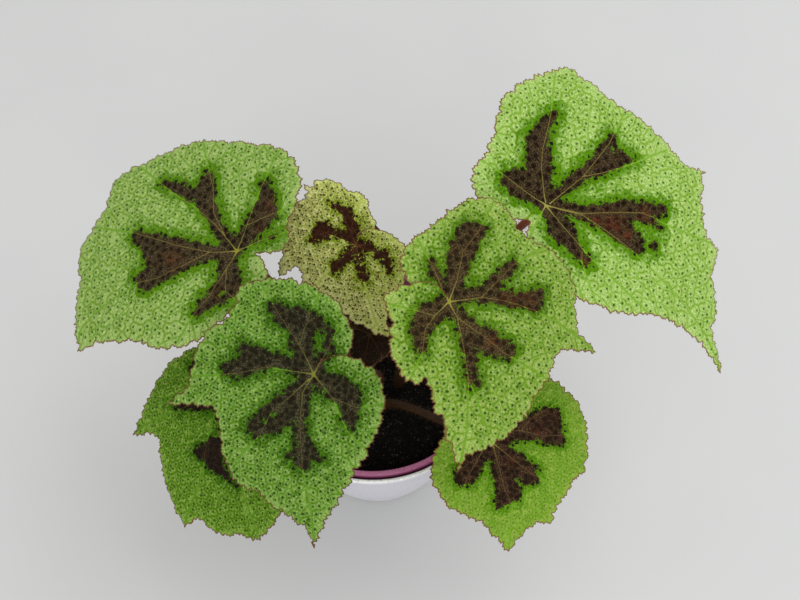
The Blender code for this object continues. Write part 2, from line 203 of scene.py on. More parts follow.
def closed_rings(rows: list[np.ndarray], low: np.ndarray, high: np.ndarray,
                 split: bool) -> tuple[np.ndarray, list[np.ndarray]]:
    """Points and faces of a closed surface through rings, with a pole at each end.

    Args:
        rows: Rings of points, as many in each.
        low: Pole before the first ring.
        high: Pole after the last ring.
        split: Triangles between the rings, instead of quads.

    Returns:
        All points, and the blocks of faces.
    """
    sides, last = len(rows[0]), (len(rows) - 1) * len(rows[0])
    here = np.arange(sides)
    there = np.roll(here, -1)
    faces = []
    for start in range(0, last, sides):
        quads = np.column_stack((here, there, there + sides, here + sides)) + start
        faces += [quads[:, [0, 1, 2]], quads[:, [0, 2, 3]]] if split else [quads]
    faces.append(np.column_stack((there, here, np.full(sides, last + sides))))
    faces.append(np.column_stack((here + last, there + last, np.full(sides, last + sides + 1))))
    return np.vstack([*rows, low, high]), faces


def plane_tree(spots: np.ndarray) -> KDTree:
    """Search tree over points of the plane."""
    tree = KDTree(len(spots))
    for i, (x, y) in enumerate(spots):
        tree.insert((x, y, 0.0), i)
    tree.balance()
    return tree


def nearest(points: np.ndarray, spots: np.ndarray) -> tuple[np.ndarray, np.ndarray]:
    """Index of and distance to the closest spot, for every point of the plane."""
    tree = plane_tree(spots)
    found = [tree.find((x, y, 0.0)) for x, y in points]
    return (np.array([hit[1] for hit in found], dtype=int),
            np.array([hit[2] for hit in found], dtype=float))


def inside(points: np.ndarray, ring: np.ndarray) -> np.ndarray:
    """True for each point of the plane that lies within a closed ring."""
    result = np.zeros(len(points), dtype=bool)
    x, y = points[:, 0], points[:, 1]
    for (x0, y0), (x1, y1) in zip(ring, np.roll(ring, -1, axis=0)):
        if y0 == y1:
            continue
        crosses = (y0 > y) != (y1 > y)
        result ^= crosses & (x < x0 + (y - y0) * (x1 - x0) / (y1 - y0))
    return result


def honeycomb(ring: np.ndarray, step: float, jitter: float, seed: int) -> np.ndarray:
    """Points of a shaken triangular grid within a closed ring."""
    low, high = ring.min(axis=0), ring.max(axis=0)
    rows = np.arange(low[1], high[1], step * 0.866)
    x, y = np.meshgrid(np.arange(low[0], high[0], step), rows)
    x = x + (np.arange(len(rows)) % 2)[:, None] * step * 0.5
    spots = np.column_stack((x.ravel(), y.ravel()))
    spots = spots + np.random.default_rng(seed).uniform(-jitter, jitter, spots.shape) * step
    return spots[inside(spots, ring)]


def filled(ring: np.ndarray, inner: np.ndarray) -> tuple[np.ndarray, np.ndarray]:
    """Points and triangles that fill a closed ring, the ring's own points first."""
    flat = np.vstack((ring, inner))
    made = delaunay_2d_cdt([Vector(p) for p in flat], [], [list(range(len(ring)))], 1, 1e-7, False)
    flat = np.array([tuple(p) for p in made[0]])
    tris = np.array(made[2], dtype=np.int32)
    doubtful = (tris < len(ring)).all(axis=1)
    keep = np.ones(len(tris), dtype=bool)
    keep[doubtful] = inside(flat[tris[doubtful]].mean(axis=1), ring)
    return flat, tris[keep]


def smooth(value: np.ndarray, low: float, high: float) -> np.ndarray:
    """Soft step from 0 at low to 1 at high."""
    t = np.clip((value - low) / (high - low), 0.0, 1.0)
    return t * t * (3.0 - 2.0 * t)


def to_segment(flat: np.ndarray, start: tuple[float, float],
               end: tuple[float, float]) -> tuple[np.ndarray, np.ndarray]:
    """Share of the way along a segment, and distance to it, for every point of the plane."""
    step = np.subtract(end, start)
    from_start = flat - np.array(start)
    share = np.clip(from_start @ step / max(1e-6, step @ step), 0.0, 1.0)
    return share, np.linalg.norm(from_start - share[:, None] * step, axis=1)


def outward(ring: np.ndarray, reach: int) -> np.ndarray:
    """Unit normals out of a closed ring, each over a few steps either way."""
    step = np.roll(ring, -reach, axis=0) - np.roll(ring, reach, axis=0)
    out = np.column_stack((step[:, 1], -step[:, 0]))
    return out / np.linalg.norm(out, axis=1)[:, None]


def run_along(line: np.ndarray) -> np.ndarray:
    """Length walked along a line up to each of its points."""
    return np.concatenate(([0.0], np.cumsum(np.linalg.norm(np.diff(line, axis=0), axis=1))))


@dataclass(frozen=True)
class BladeFinish:
    """Bullate leaf skin: pale cells with flecks of painted highlight, a dark cross with a green halo and
    painted highlight specks, dots and fine veins, and painted shade across the blade where shade_side says
    so.
    """

    pale: str
    pale_deep: str
    fleck: str
    net: str
    halo: str
    halo_deep: str
    dot: str
    dark: str
    dark_cell: str
    red: str
    vein_dark: str
    vein_pale: str
    rim: str
    under: str = "8E8C5C"
    under_vein: str = "8A4438"
    halo_reach: float = 5.0
    fleck_share: float = 0.85
    dot_radius: float = 0.46
    cross_inset: float = 0.0
    # share of painted shade across the blade, per millimetre left of the midrib
    shade_side: float = 0.0
    bump_highlight: str = "6E5848"
    hub: str = "A0A034"
    vein_fade: float = 0.6
    roughness: float = 0.55

    def material(self, name: str) -> bpy.types.Material:
        """Build the leaf skin from the attributes of the blade's mesh.

        Args:
            name: Name of the material.

        Returns:
            The finished material.
        """
        material, node, shader = new_material(name)
        place, cell = (node("Attribute", out=1, attribute_name=key) for key in ("place", "cell"))
        marks, edges, spots = (node("SeparateXYZ", node("Attribute", out=1, attribute_name=key)).node
                               for key in ("marks", "edges", "spots"))
        cross_here, cross_cell, main_vein = marks.outputs
        rim, side_vein, under = edges.outputs
        red, chance, net = spots.outputs

        # noises from the width of a fleck to the width of a lobe
        fleck_noise, fine, middle, wide = (
            node("TexNoise", place, Scale=scale, Detail=detail)
            for scale, detail in ((1.25, 1.5), (0.85, 2.0), (0.3, 2.0), (0.07, 1.0)))

        # round dot in the middle of every cell
        off = node("VectorMath", place, cell, operation="DISTANCE")
        size = node("MapRange", chance, 0.0, 1.0, self.dot_radius * 0.8, self.dot_radius * 1.25)
        gap = node("Math", off, size, operation="SUBTRACT")
        dot = node("MapRange", gap, -0.2, 0.28, 1.0, 0.0)
        ring = node("MapRange", gap, 0.1, 0.8, 0.45, 0.0)

        # fine veins, and threads that are finer still
        warp = node("VectorMath", fine.node.outputs["Color"], (1.4, 1.4, 0.0), operation="MULTIPLY")
        shifted = node("VectorMath", place, warp, operation="ADD")
        threads = node("TexVoronoi", shifted, Scale=0.6, feature="DISTANCE_TO_EDGE",
                       voronoi_dimensions="2D")
        breadth = node("MapRange", middle, 0.3, 0.7, 0.2, 0.42)
        small_line, net_line, valley, side_line, main_line, band, ribs, main_below = (
            node("MapRange", distance, near, far, share, 0.0) for distance, near, far, share in (
                (threads, 0.04, 0.2, 1.0), (net, 0.02, breadth, 1.0), (net, 0.1, 1.0, 1.0),
                (side_vein, 0.05, 0.55, 0.9), (main_vein, 0.0, 0.22, 0.7), (main_vein, 0.1, 0.9, 0.6),
                (main_vein, 0.05, 0.4, 0.9), (main_vein, 0.2, 1.0, 1.0)))
        line = node("Math", net_line, side_line, operation="MAXIMUM")
        traced = node("Math", line, small_line, operation="MAXIMUM")
        thread, dip, cut, shade, lesser, trough, faint, own = (
            node("Math", mask, share, operation="MULTIPLY") for mask, share in (
                (small_line, 0.25), (valley, 0.32), (line, 0.9), (line, 0.6), (line, 0.06),
                (valley, 0.7), (traced, 0.12), (cross_here, 0.62)))

        # broad tints at random; where shade_side says so, painted light and shade across the blade, paler
        # right of the midrib and darker and greener left of it; pale flecks as painted highlights on the
        # cells
        tone_and_shade = node("Math", node("SeparateXYZ", place, out=1), self.shade_side, wide,
                       operation="MULTIPLY_ADD")
        tinge = node("MapRange", tone_and_shade, 0.35, 0.65)
        # pale flecks: painted highlights on the puffed cells, kept off the valleys
        fleck_highlights = node("MapRange", fleck_noise, 0.43, 0.57, 0.0, self.fleck_share)
        open_cell = node("MapRange", valley, 0.1, 0.8, 1.0, 0.15)
        fleck_highlights = node("Math", fleck_highlights, open_cell, operation="MULTIPLY")
        dapple = node("MapRange", fine, 0.3, 0.5, 0.65, 0.0)

        # saturated green halo that runs out along the fine veins
        blend = node("Math", cross_here, 0.5, cross_cell, operation="MULTIPLY_ADD")
        stray = node("MapRange", middle, 0.0, 1.0, -3.0, 3.0)
        spread = node("Math", blend, 0.66, stray, operation="MULTIPLY_ADD")
        spread = node("Math", valley, -2.0, spread, operation="MULTIPLY_ADD")
        grainy = node("MapRange", fleck_noise, 0.0, 1.0, -2.5, 2.5)
        spread = node("Math", spread, grainy, operation="ADD")
        halo = node("MapRange", spread, self.halo_reach - 3.4, self.halo_reach + 1.8, 1.0, 0.0,
                    interpolation_type="SMOOTHSTEP")
        halo = node("Math", halo, band, operation="MAXIMUM")
        depth = node("Math", node("MapRange", fine, 0.32, 0.66), shade, operation="MAXIMUM")

        # brown cross, ragged by cell, nearly black round the bristles and lighter on the fine veins, with
        # painted grey-pink highlight specks on the cells' bumps
        crossing = node("Math", cross_cell, 0.38, own, operation="MULTIPLY_ADD")
        pull = node("MapRange", off, 0.5, 1.4, self.cross_inset - 1.1, self.cross_inset + 0.2)
        crossing = node("Math", crossing, pull, operation="ADD")
        for noise, swing in ((middle, 2.0), (fine, 2.4), (fleck_noise, 1.2)):
            shift = node("MapRange", noise, 0.0, 1.0, -swing, swing)
            crossing = node("Math", crossing, shift, operation="ADD")
        cross = node("MapRange", crossing, -0.5, 0.5, 1.0, 0.0, interpolation_type="SMOOTHSTEP")
        glow = node("MapRange", off, 0.8, 1.8, 0.0, 0.9)
        glow = node("Math", glow, trough, operation="MAXIMUM")
        grain = node("MapRange", fleck_noise, 0.38, 0.62, 0.1)
        glow = node("Math", glow, grain, operation="MULTIPLY")
        # painted highlight specks, grey-pink, on the bumps of the dark cells
        highlight_specks = node("MapRange", fleck_noise, 0.54, 0.68, 0.0, 0.34)
        highlight_specks = node("Math", highlight_specks, node("MapRange", off, 0.7, 1.5), operation="MULTIPLY")
        stain = node("MapRange", traced, 0.2, 1.0, 0.12, 0.9)
        blush = node("Math", red, node("MapRange", middle, 0.3, 0.6), operation="MULTIPLY")
        blush = node("Math", blush, stain, operation="MULTIPLY")

        # veins pale at the hub and redder far out, a thin margin, and raised red veins below
        reach = node("VectorMath", place, operation="LENGTH")
        far = node("MapRange", reach, 4.0, 22.0, 0.0, self.vein_fade)
        near = node("MapRange", reach, 0.8, 4.5, 0.8, 0.0)
        lip = node("MapRange", rim, 0.15, 0.7, 1.0, 0.0)
        ruddy = node("MapRange", crossing, -1.0, 3.0, 0.7, 0.0)
        vein_below = node("Math", main_below, side_line, operation="MAXIMUM")
        flipped = node("MapRange", under, 0.45, 0.55)

        tints = {}
        for key, base, layers in (
                ("green", self.halo, ((depth, self.halo_deep),)),
                ("vein", self.vein_dark, ((far, self.red), (near, self.hub))),
                ("brown", self.dark, ((glow, self.dark_cell), (highlight_specks, self.bump_highlight), (blush, self.red),
                                      (faint, self.red), (lesser, "vein"), (main_line, "vein"))),
                ("below", self.under, ((ruddy, self.red), (vein_below, self.under_vein))),
                ("skin", self.pale, ((tinge, self.pale_deep), (fleck_highlights, self.fleck), (dapple, self.net),
                                     (thread, self.net), (dip, self.net), (ring, self.net),
                                     (cut, self.net), (halo, "green"), (dot, self.dot),
                                     (ribs, self.vein_pale), (cross, "brown"), (lip, self.rim),
                                     (flipped, "below")))):
            tint = colour(base)
            for mask, over in layers:
                over = tints[over] if over in tints else colour(over)
                tint = node("Mix", mask, tint, over, data_type="RGBA")
            tints[key] = tint

        relief = node("Math", small_line, -0.4, fleck_noise, operation="MULTIPLY_ADD")
        relief = node("Math", line, -0.8, relief, operation="MULTIPLY_ADD")
        fill(shader, {"Base Color": tints["skin"], "Specular IOR Level": 0.05,
                      "Normal": node("Bump", Height=relief, Strength=0.6, Distance=0.4 * MM),
                      "Roughness": node("MapRange", fine, 0.3, 0.7, self.roughness - 0.1,
                                        self.roughness + 0.1)})
        return material


class Age(Enum):
    """How old a leaf is and how much light falls on it, painted into its tints, which sets its finish."""

    # each finish is one leaf skin; BRIGHT is painted lighter, and DEEP_SHADE, SIDE and SHADED are painted
    # darker, for the light and shade each leaf gets
    BRIGHT = BladeFinish(pale="99B858", pale_deep="8DAC48", fleck="BAD28A", net="74A02C", halo="5E9002",
                         halo_deep="447202", dot="37561A", dark="0D0B04", dark_cell="4E442A",
                         red="5E2212", vein_dark="948E40", vein_pale="7AAA26", rim="76482C",
                         halo_reach=4.7, fleck_share=0.95, hub="B8B45A", vein_fade=0.25)
    FULL = BladeFinish(pale="90A756", pale_deep="849E46", fleck="AAC17C", net="628E26", halo="5A860A",
                       halo_deep="426C06", dot="304818", dark="121005", dark_cell="524830",
                       red="54301C", vein_dark="8C843E", vein_pale="6A9C20", rim="6C422C",
                       halo_reach=4.6, vein_fade=0.3)
    RIPE = BladeFinish(pale="8AA142", pale_deep="7E9734", fleck="A6BC70", net="5D8A1A", halo="568006",
                       halo_deep="3E6404", dot="2E4616", dark="191608", dark_cell="584C2E",
                       red="5C2A16", vein_dark="8C843E", vein_pale="689A1A", rim="6C422C",
                       halo_reach=3.7)
    DEEP_SHADE = BladeFinish(pale="77973C", pale_deep="6B8B30", fleck="97B268", net="4D7C1A", halo="447004",
                       halo_deep="2E5404", dot="223A10", dark="16160A", dark_cell="4A4830",
                       red="42281A", vein_dark="767236", vein_pale="5E9020", rim="5E3628",
                       halo_reach=3.5, bump_highlight="665C4C", hub="848C30")
    SIDE = BladeFinish(pale="7E9C34", pale_deep="6C9428", fleck="A6B85C", net="66941E", halo="5A8C06",
                       halo_deep="467806", dot="4A681E", dark="1A120A", dark_cell="543E2A",
                       red="50281A", vein_dark="7A703A", vein_pale="70A024", rim="743C2A",
                       halo_reach=3.2, fleck_share=0.6, dot_radius=0.3)
    SHADED = BladeFinish(pale="62861E", pale_deep="587E16", fleck="90AC50", net="46740C", halo="406C02",
                         halo_deep="2E5802", dot="24380A", dark="16100A", dark_cell="2C2214",
                         red="3A1C16", vein_dark="5E542E", vein_pale="5A8A1C", rim="64362A",
                         halo_reach=3.2, fleck_share=0.95, dot_radius=0.4)
    # YOUNG: shade_side paints shade across the blade, darker and greener left of the midrib
    YOUNG = BladeFinish(pale="D4D68A", pale_deep="A2B844", fleck="DEE0A0", net="AAB254", halo="8CA01E",
                        halo_deep="6E8612", dot="3A3010", dark="28170B", dark_cell="4C2A18",
                        red="5C2418", vein_dark="4A2C1C", vein_pale="B0BC58", rim="6A4634",
                        halo_reach=2.4, fleck_share=0.9, dot_radius=0.44, cross_inset=0.35,
                        shade_side=0.016, hub="6A4428")
    NEW = BladeFinish(pale="3C301C", pale_deep="2C2210", fleck="6A5A42", net="20180C", halo="342A12",
                      halo_deep="22190C", dot="120D06", dark="1E150D", dark_cell="3C2E1C",
                      red="4A261C", vein_dark="4C3C24", vein_pale="4C3C24", rim="6A3C34",
                      halo_reach=3.0, dot_radius=0.3, bump_highlight="4A3A2C", hub="4C3C24")


@dataclass(frozen=True)
class FibreFinish:
    """Stiff plant hair: one tint, darker and lighter by tuft."""

    tint: str
    tip: str
    roughness: float = 0.6

    def material(self, name: str) -> bpy.types.Material:
        """Build the hair's material on Object coordinates."""
        material, node, shader = new_material(name)
        patch = node("TexNoise", node("TexCoord", out=3), Scale=260.0, Detail=1.0)
        tint = node("Mix", node("MapRange", patch, 0.35, 0.65), colour(self.tint), colour(self.tip),
                    data_type="RGBA")
        fill(shader, {"Base Color": tint, "Roughness": self.roughness, "Specular IOR Level": 0.3})
        return material


@dataclass(frozen=True)
class StalkFinish:
    """Fleshy red-brown stalk skin: long streaks, pale flecks and a redder top."""

    base: str
    streak: str
    top: str
    fleck: str

    def material(self, name: str) -> bpy.types.Material:
        """Build the stalk's material from its run attribute (turn, length, share)."""
        material, node, shader = new_material(name)
        run = node("Attribute", out=1, attribute_name="run")
        stretched = node("VectorMath", run, (3.0, 0.16, 0.0), operation="MULTIPLY")
        streaks = node("TexNoise", stretched, Scale=1.0, Detail=3.0)
        specks = node("TexVoronoi", node("TexCoord", out=3), Scale=650.0)
        upper = node("MapRange", node("SeparateXYZ", run, out=2), 0.76, 0.93, 0.0, 0.95)
        skin = colour(self.base)
        for mask, tint in ((node("MapRange", streaks, 0.35, 0.65), self.streak), (upper, self.top),
                           (node("MapRange", specks, 0.12, 0.25, 0.7, 0.0), self.fleck)):
            skin = node("Mix", mask, skin, colour(tint), data_type="RGBA")
        fill(shader, {"Base Color": skin, "Roughness": 0.5, "Specular IOR Level": 0.2,
                      "Normal": node("Bump", Height=streaks, Strength=0.4, Distance=0.3 * MM)})
        return material


@dataclass(frozen=True)
class PeatFinish:
    """Damp peat and its bits: dark grains, a few lighter fibres, no shine."""

    deep_shade: str
    grain: str
    fibre: str
    scale: float = 420.0
    roughness: float = 0.9

    def material(self, name: str) -> bpy.types.Material:
        """Build the peat's material on Object coordinates."""
        material, node, shader = new_material(name)
        where = node("TexCoord", out=3)
        lumps = node("TexNoise", where, Scale=self.scale, Detail=5.0, Roughness=0.65)
        tone = node("SeparateColor", node("TexVoronoi", where, Scale=self.scale * 1.6, out=1))
        skin = colour(self.deep_shade)
        for mask, tint in ((node("MapRange", lumps, 0.4, 0.65), self.grain),
                           (node("MapRange", tone, 0.9, 0.97, 0.0, 0.8), self.fibre)):
            skin = node("Mix", mask, skin, colour(tint), data_type="RGBA")
        fill(shader, {"Base Color": skin, "Roughness": self.roughness, "Specular IOR Level": 0.15,
                      "Normal": node("Bump", Height=lumps, Strength=0.8, Distance=0.8 * MM)})
        return material


@dataclass(frozen=True)
class PlasticFinish:
    """Moulded pot plastic: an even tint, a soft gloss, faint flow marks round the wall and a painted
    highlight along the top of the rim.
    """

    tint: str
    shade: str
    rim_highlight: str
    roughness: float
    highlight_above: float

    def material(self, name: str) -> bpy.types.Material:
        """Build the plastic's material on Object coordinates."""
        material, node, shader = new_material(name)
        where = node("TexCoord", out=3)
        ringed = node("VectorMath", where, (8.0, 8.0, 260.0), operation="MULTIPLY")
        flow = node("TexNoise", ringed, Scale=1.0, Detail=2.0)
        scuff = node("TexNoise", where, Scale=900.0, Detail=3.0)
        # painted highlight: the top millimetre of the rim is lightened, patchy with the scuffs
        edge = node("MapRange", node("SeparateXYZ", where, out=2), (self.highlight_above - 0.6) * MM,
                    (self.highlight_above + 0.4) * MM)
        rim_shine = node("Math", edge, node("MapRange", scuff, 0.2, 0.6), operation="MULTIPLY")
        skin = colour(self.tint)
        for mask, tint in ((node("MapRange", flow, 0.3, 0.7), self.shade), (rim_shine, self.rim_highlight)):
            skin = node("Mix", mask, skin, colour(tint), data_type="RGBA")
        gloss = node("MapRange", scuff, 0.3, 0.7, self.roughness - 0.06, self.roughness + 0.08)
        fill(shader, {"Base Color": skin, "Roughness": gloss,
                      "Normal": node("Bump", Height=scuff, Strength=0.06, Distance=0.1 * MM)})
        return material


class Carpet:
    """Small stiff shapes set on points or scattered over faces by Geometry Nodes."""

    def __init__(self, name: str, on_faces: bool, grain: bool) -> None:
        """Build the tree.

        Args:
            name: Name of the node tree.
            on_faces: Scatter over faces, instead of standing on the given points.
            grain: Round crumbs, instead of bent hairs.
        """
        self.tree = bpy.data.node_groups.new(name, "GeometryNodeTree")
        node = partial(add_node, self.tree)
        for label, kind in (("Ground", "Geometry"), ("Density", "Float"), ("Width", "Float"),
                            ("Length", "Float"), ("Lean", "Float"), ("Seed", "Int"),
                            ("Finish", "Material")):
            self.tree.interface.new_socket(label, in_out="INPUT", socket_type="NodeSocket" + kind)
        self.tree.interface.new_socket("Carpet", in_out="OUTPUT", socket_type="NodeSocketGeometry")
        given = node("NodeGroupInput").node.outputs
        seed = given["Seed"]
        if on_faces:
            ground = node("GeometryNodeDistributePointsOnFaces", given["Ground"],
                          Density=given["Density"], Seed=seed)
            axis = ground.node.outputs["Normal"]
            tall = node("FunctionNodeRandomValue", 0.55, 1.0, Seed=seed, data_type="FLOAT")
        else:
            ground = given["Ground"]
            axis = node("GeometryNodeInputNamedAttribute", "axis", data_type="FLOAT_VECTOR")
            tall = node("GeometryNodeInputNamedAttribute", "tall", data_type="FLOAT")
        breadth = given["Width"]
        if grain:
            shape = node("GeometryNodeMeshUVSphere", Radius=1.0, Segments=4, Rings=2)
            breadth = node("Math", tall, breadth, operation="MULTIPLY")
        else:
            # three-sided cone in three steps, pointed and bent over
            shape = node("GeometryNodeMeshCone", 3, 3, 1, 0.12, 1.0, 1.0)
            up = node("SeparateXYZ", node("GeometryNodeInputPosition"), out=2)
            arch = node("Math", up, 2.0, operation="POWER")
            arch = node("Math", arch, HAIR_BEND, operation="MULTIPLY")
            shape = node("GeometryNodeSetPosition", shape, Offset=node("CombineXYZ", arch))
        shake = node("FunctionNodeRandomValue", (-1.0, -1.0, -1.0), (1.0, 1.0, 1.0), Seed=seed,
                     data_type="FLOAT_VECTOR")
        shake = node("VectorMath", shake, given["Lean"], operation="SCALE")
        aim = node("VectorMath", axis, shake, operation="ADD")
        turn = node("FunctionNodeAlignRotationToVector", Vector=aim, axis="Z")
        spin = node("FunctionNodeRandomValue", 0.0, FULL_TURN, Seed=seed, data_type="FLOAT")
        roll = node("FunctionNodeAxisAngleToRotation", (0.0, 0.0, 1.0), spin)
        turn = node("FunctionNodeRotateRotation", turn, roll, rotation_space="LOCAL")
        reach = node("Math", tall, given["Length"], operation="MULTIPLY")
        scale = node("CombineXYZ", breadth, given["Width"], reach)
        real = node("GeometryNodeInstanceOnPoints", ground, Instance=shape, Rotation=turn, Scale=scale)
        real = node("GeometryNodeRealizeInstances", real)
        real = node("GeometryNodeSetMaterial", real, Material=given["Finish"])
        node("NodeGroupOutput", real)

    def grow(self, name: str, ground: bpy.types.Object, finish: bpy.types.Material, width: float,
             length: float, lean: float, seed: int, density: float = 0.0) -> bpy.types.Object:
        """Lay the carpet on a mesh and turn it into a plain piece.

        Args:
            name: Name of the new piece.
            ground: Object whose points or faces carry it.
            finish: Material of the small shapes.
            width: Radius of one shape.
            length: Full height of one shape.
            lean: How far the shapes stray from upright, 0 to 1.
            seed: Seed of everything random.
            density: Shapes per square millimetre, where they are scattered.

        Returns:
            The new object, at the origin.
        """
        modifier = ground.modifiers.new("carpet", "NODES")
        modifier.node_group = self.tree
        keys = {item.name: item.identifier for item in self.tree.interface.items_tree
                if item.in_out == "INPUT"}
        values = {"Density": density / (MM * MM), "Width": width * MM, "Length": length * MM,
                  "Lean": lean, "Seed": seed, "Finish": finish}
        for label, value in values.items():
            modifier[keys[label]] = value
        ground.update_tag()
        graph = bpy.context.evaluated_depsgraph_get()
        mesh = bpy.data.meshes.new_from_object(ground.evaluated_get(graph))
        ground.modifiers.remove(modifier)
        mesh.name = name
        mesh.shade_smooth()
        mesh.materials.clear()
        mesh.materials.append(finish)
        for key in [a.name for a in mesh.attributes if a.name in ("axis", "tall")]:
            mesh.attributes.remove(mesh.attributes[key])
        thing = bpy.data.objects.new(name, mesh)
        bpy.context.scene.collection.objects.link(thing)
        return thing


@dataclass
class Leaf:
    """One leaf: a blade on its stalk, with its cross, veins and hairs.

    Angles are in degrees round the hub from the midrib.  A place on the blade is (along the
    midrib, to its left) from the hub.  A spike is (angle, length, half width, hook), the hook
    in degrees round the hub.
    """

    name: str
    hub: tuple[float, float, float]
    bearing: float
    face: float
    tilt: float
    size: float
    lift: float
    droop: float
    tip_droop: float
    wave: float
    outline: Path
    spikes: Path
    ribs: tuple[float, ...]
    foot: tuple[float, float]
    foot_lean: tuple[float, float]
    reach: tuple[float, float]
    stalk_radius: float
    age: Age
    spacing: float
    arms: tuple[Path, ...]
    veins: tuple[Path, ...]
    islands: Path = ()
    blushes: Path = ()
    seam: Path = ()
    bristle: float = 1.7
    grid: float = 0.55

    def axes(self) -> tuple[np.ndarray, np.ndarray, np.ndarray]:
        """Midrib direction, sideways direction and normal of the blade."""
        face, tilt, bearing = (math.radians(a) for a in (self.face, self.tilt, self.bearing))
        normal = np.array([math.sin(tilt) * math.cos(face), math.sin(tilt) * math.sin(face),
                           math.cos(tilt)])
        along = np.array([math.cos(bearing), math.sin(bearing), 0.0])
        along[2] = -(normal[0] * along[0] + normal[1] * along[1]) / normal[2]
        along /= np.linalg.norm(along)
        return along, np.cross(normal, along), normal

    def outline_radius(self, angles: np.ndarray) -> np.ndarray:
        """Radius of the outline at each angle, without its teeth."""
        stations = np.array(self.outline, dtype=float)
        where, radii = stations[:, 0], stations[:, 1]
        spans = (np.roll(where, -1) - where) % 360.0
        rises = (np.roll(radii, -1) - radii) / spans
        before = np.roll(rises, 1)
        product = rises * before
        total = np.where(product > 0.0, rises + before, 1.0)
        slopes = np.where(product > 0.0, 2.0 * product / total, 0.0)
        angles = angles % 360.0
        index = np.searchsorted(where, angles, side="right") - 1
        after = (index + 1) % len(where)
        t = (angles - where[index]) / spans[index]
        value = (2 * t ** 3 - 3 * t ** 2 + 1) * radii[index]
        value += (t ** 3 - 2 * t ** 2 + t) * spans[index] * slopes[index]
        value += (3 * t ** 2 - 2 * t ** 3) * radii[after] + (t ** 3 - t ** 2) * spans[index] * slopes[after]
        for spot, extra, width, _ in self.spikes:
            value += extra * np.exp(-np.abs((angles - spot + 180.0) % 360.0 - 180.0) / width)
        return value

    def pleat(self, angles: np.ndarray) -> np.ndarray:
        """0 on a main rib, 1 halfway between two ribs."""
        ribs = np.array(self.ribs, dtype=float)[:, None]
        ahead = ((ribs - angles) % 360.0).min(axis=0)
        behind = ((angles - ribs) % 360.0).min(axis=0)
        half = np.maximum(8.0, 0.5 * (ahead + behind))
        return np.sin(0.5 * np.pi * np.minimum(1.0, np.minimum(ahead, behind) / half))

    def height(self, flat: np.ndarray) -> np.ndarray:
        """Height of the smooth blade above the plane through its hub."""
        radius = np.hypot(flat[:, 0], flat[:, 1])
        turn = np.arctan2(flat[:, 1], flat[:, 0])
        share = radius / self.size
        rise = self.lift * (1.0 - np.exp(-(share / FUNNEL_SHARE) ** 2))
        rise -= self.droop * share ** 2
        rise -= self.tip_droop * np.maximum(0.0, np.cos(turn)) ** 3 * share ** 2
        rise += self.wave * share ** 2 * np.sin(7.0 * turn + self.bearing)
        pleats = self.pleat(np.degrees(turn) % 360.0)
        return rise + 0.03 * self.size * pleats * share * np.maximum(0.0, 1.15 - share)

    def lifted(self, flat: np.ndarray, rise: np.ndarray) -> np.ndarray:
        """Points in space for places on the blade at a height above its plane."""
        along, across, normal = self.axes()
        return (np.array(self.hub) + flat[:, :1] * along + flat[:, 1:2] * across
                + rise[:, None] * normal)

    def edge(self) -> np.ndarray:
        """Closed outline with uneven teeth and scallops.

        Returns:
            Places on the blade about half a millimetre apart.
        """
        rng = np.random.default_rng(ord(self.name))
        angles = np.arange(0.0, 360.0, 0.2)
        radii = self.outline_radius(angles)
        turn = np.radians(angles)
        for spot, _, width, hook in self.spikes:
            away = np.abs((angles - spot + 180.0) % 360.0 - 180.0)
            turn += math.radians(hook) * np.exp(-away / width) ** 1.4
        line = np.column_stack((radii * np.cos(turn), radii * np.sin(turn)))
        closed = np.vstack((line, line[:1]))
        run = run_along(closed)
        count = int(run[-1] / MARGIN_STEP)
        s = np.arange(count) / count * run[-1]
        ring = np.column_stack([np.interp(s, run, closed[:, k]) for k in (0, 1)])
        out = outward(ring, 2)
        mean = sum(np.roll(out, k, axis=0) for k in range(-6, 7)) / 13.0
        calm = np.linalg.norm(mean, axis=1) ** 3
        calm *= np.clip(np.hypot(ring[:, 0], ring[:, 1]) / 26.0, 0.12, 1.0)
        push = np.zeros(count)
        for pitch, spread, height, peak, power in TEETH:
            marks = [0.0]
            while marks[-1] < run[-1] - 1.3 * pitch:
                marks.append(marks[-1] + pitch * rng.uniform(1.0 - spread, 1.0 + spread))
            marks.append(run[-1])
            marks = np.array(marks)
            index = np.clip(np.searchsorted(marks, s, side="right") - 1, 0, len(marks) - 2)
            t = (s - marks[index]) / (marks[index + 1] - marks[index])
            shape = np.where(t < peak, t / peak, (1.0 - t) / (1.0 - peak))
            tall = rng.uniform(0.3, 1.0, len(marks))[index]
            push += height * tall * (shape ** power - 0.5)
        return ring + mean / np.linalg.norm(mean, axis=1)[:, None] * (push * calm)[:, None]

    def cross_distance(self, flat: np.ndarray) -> np.ndarray:
        """Signed distance to the brown cross, negative inside it."""
        total = np.zeros(len(flat))
        for arm in self.arms:
            for (x0, y0, r0), (x1, y1, r1) in zip(arm, arm[1:]):
                share, away = to_segment(flat, (x0, y0), (x1, y1))
                away -= r0 + share * (r1 - r0)
                total += np.exp(-np.clip(away, -30.0, 30.0) / CROSS_BLEND)
        value = -CROSS_BLEND * np.log(total + 1e-30)
        for x, y, radius in self.islands:
            value = np.maximum(value, radius - np.hypot(flat[:, 0] - x, flat[:, 1] - y))
        return value

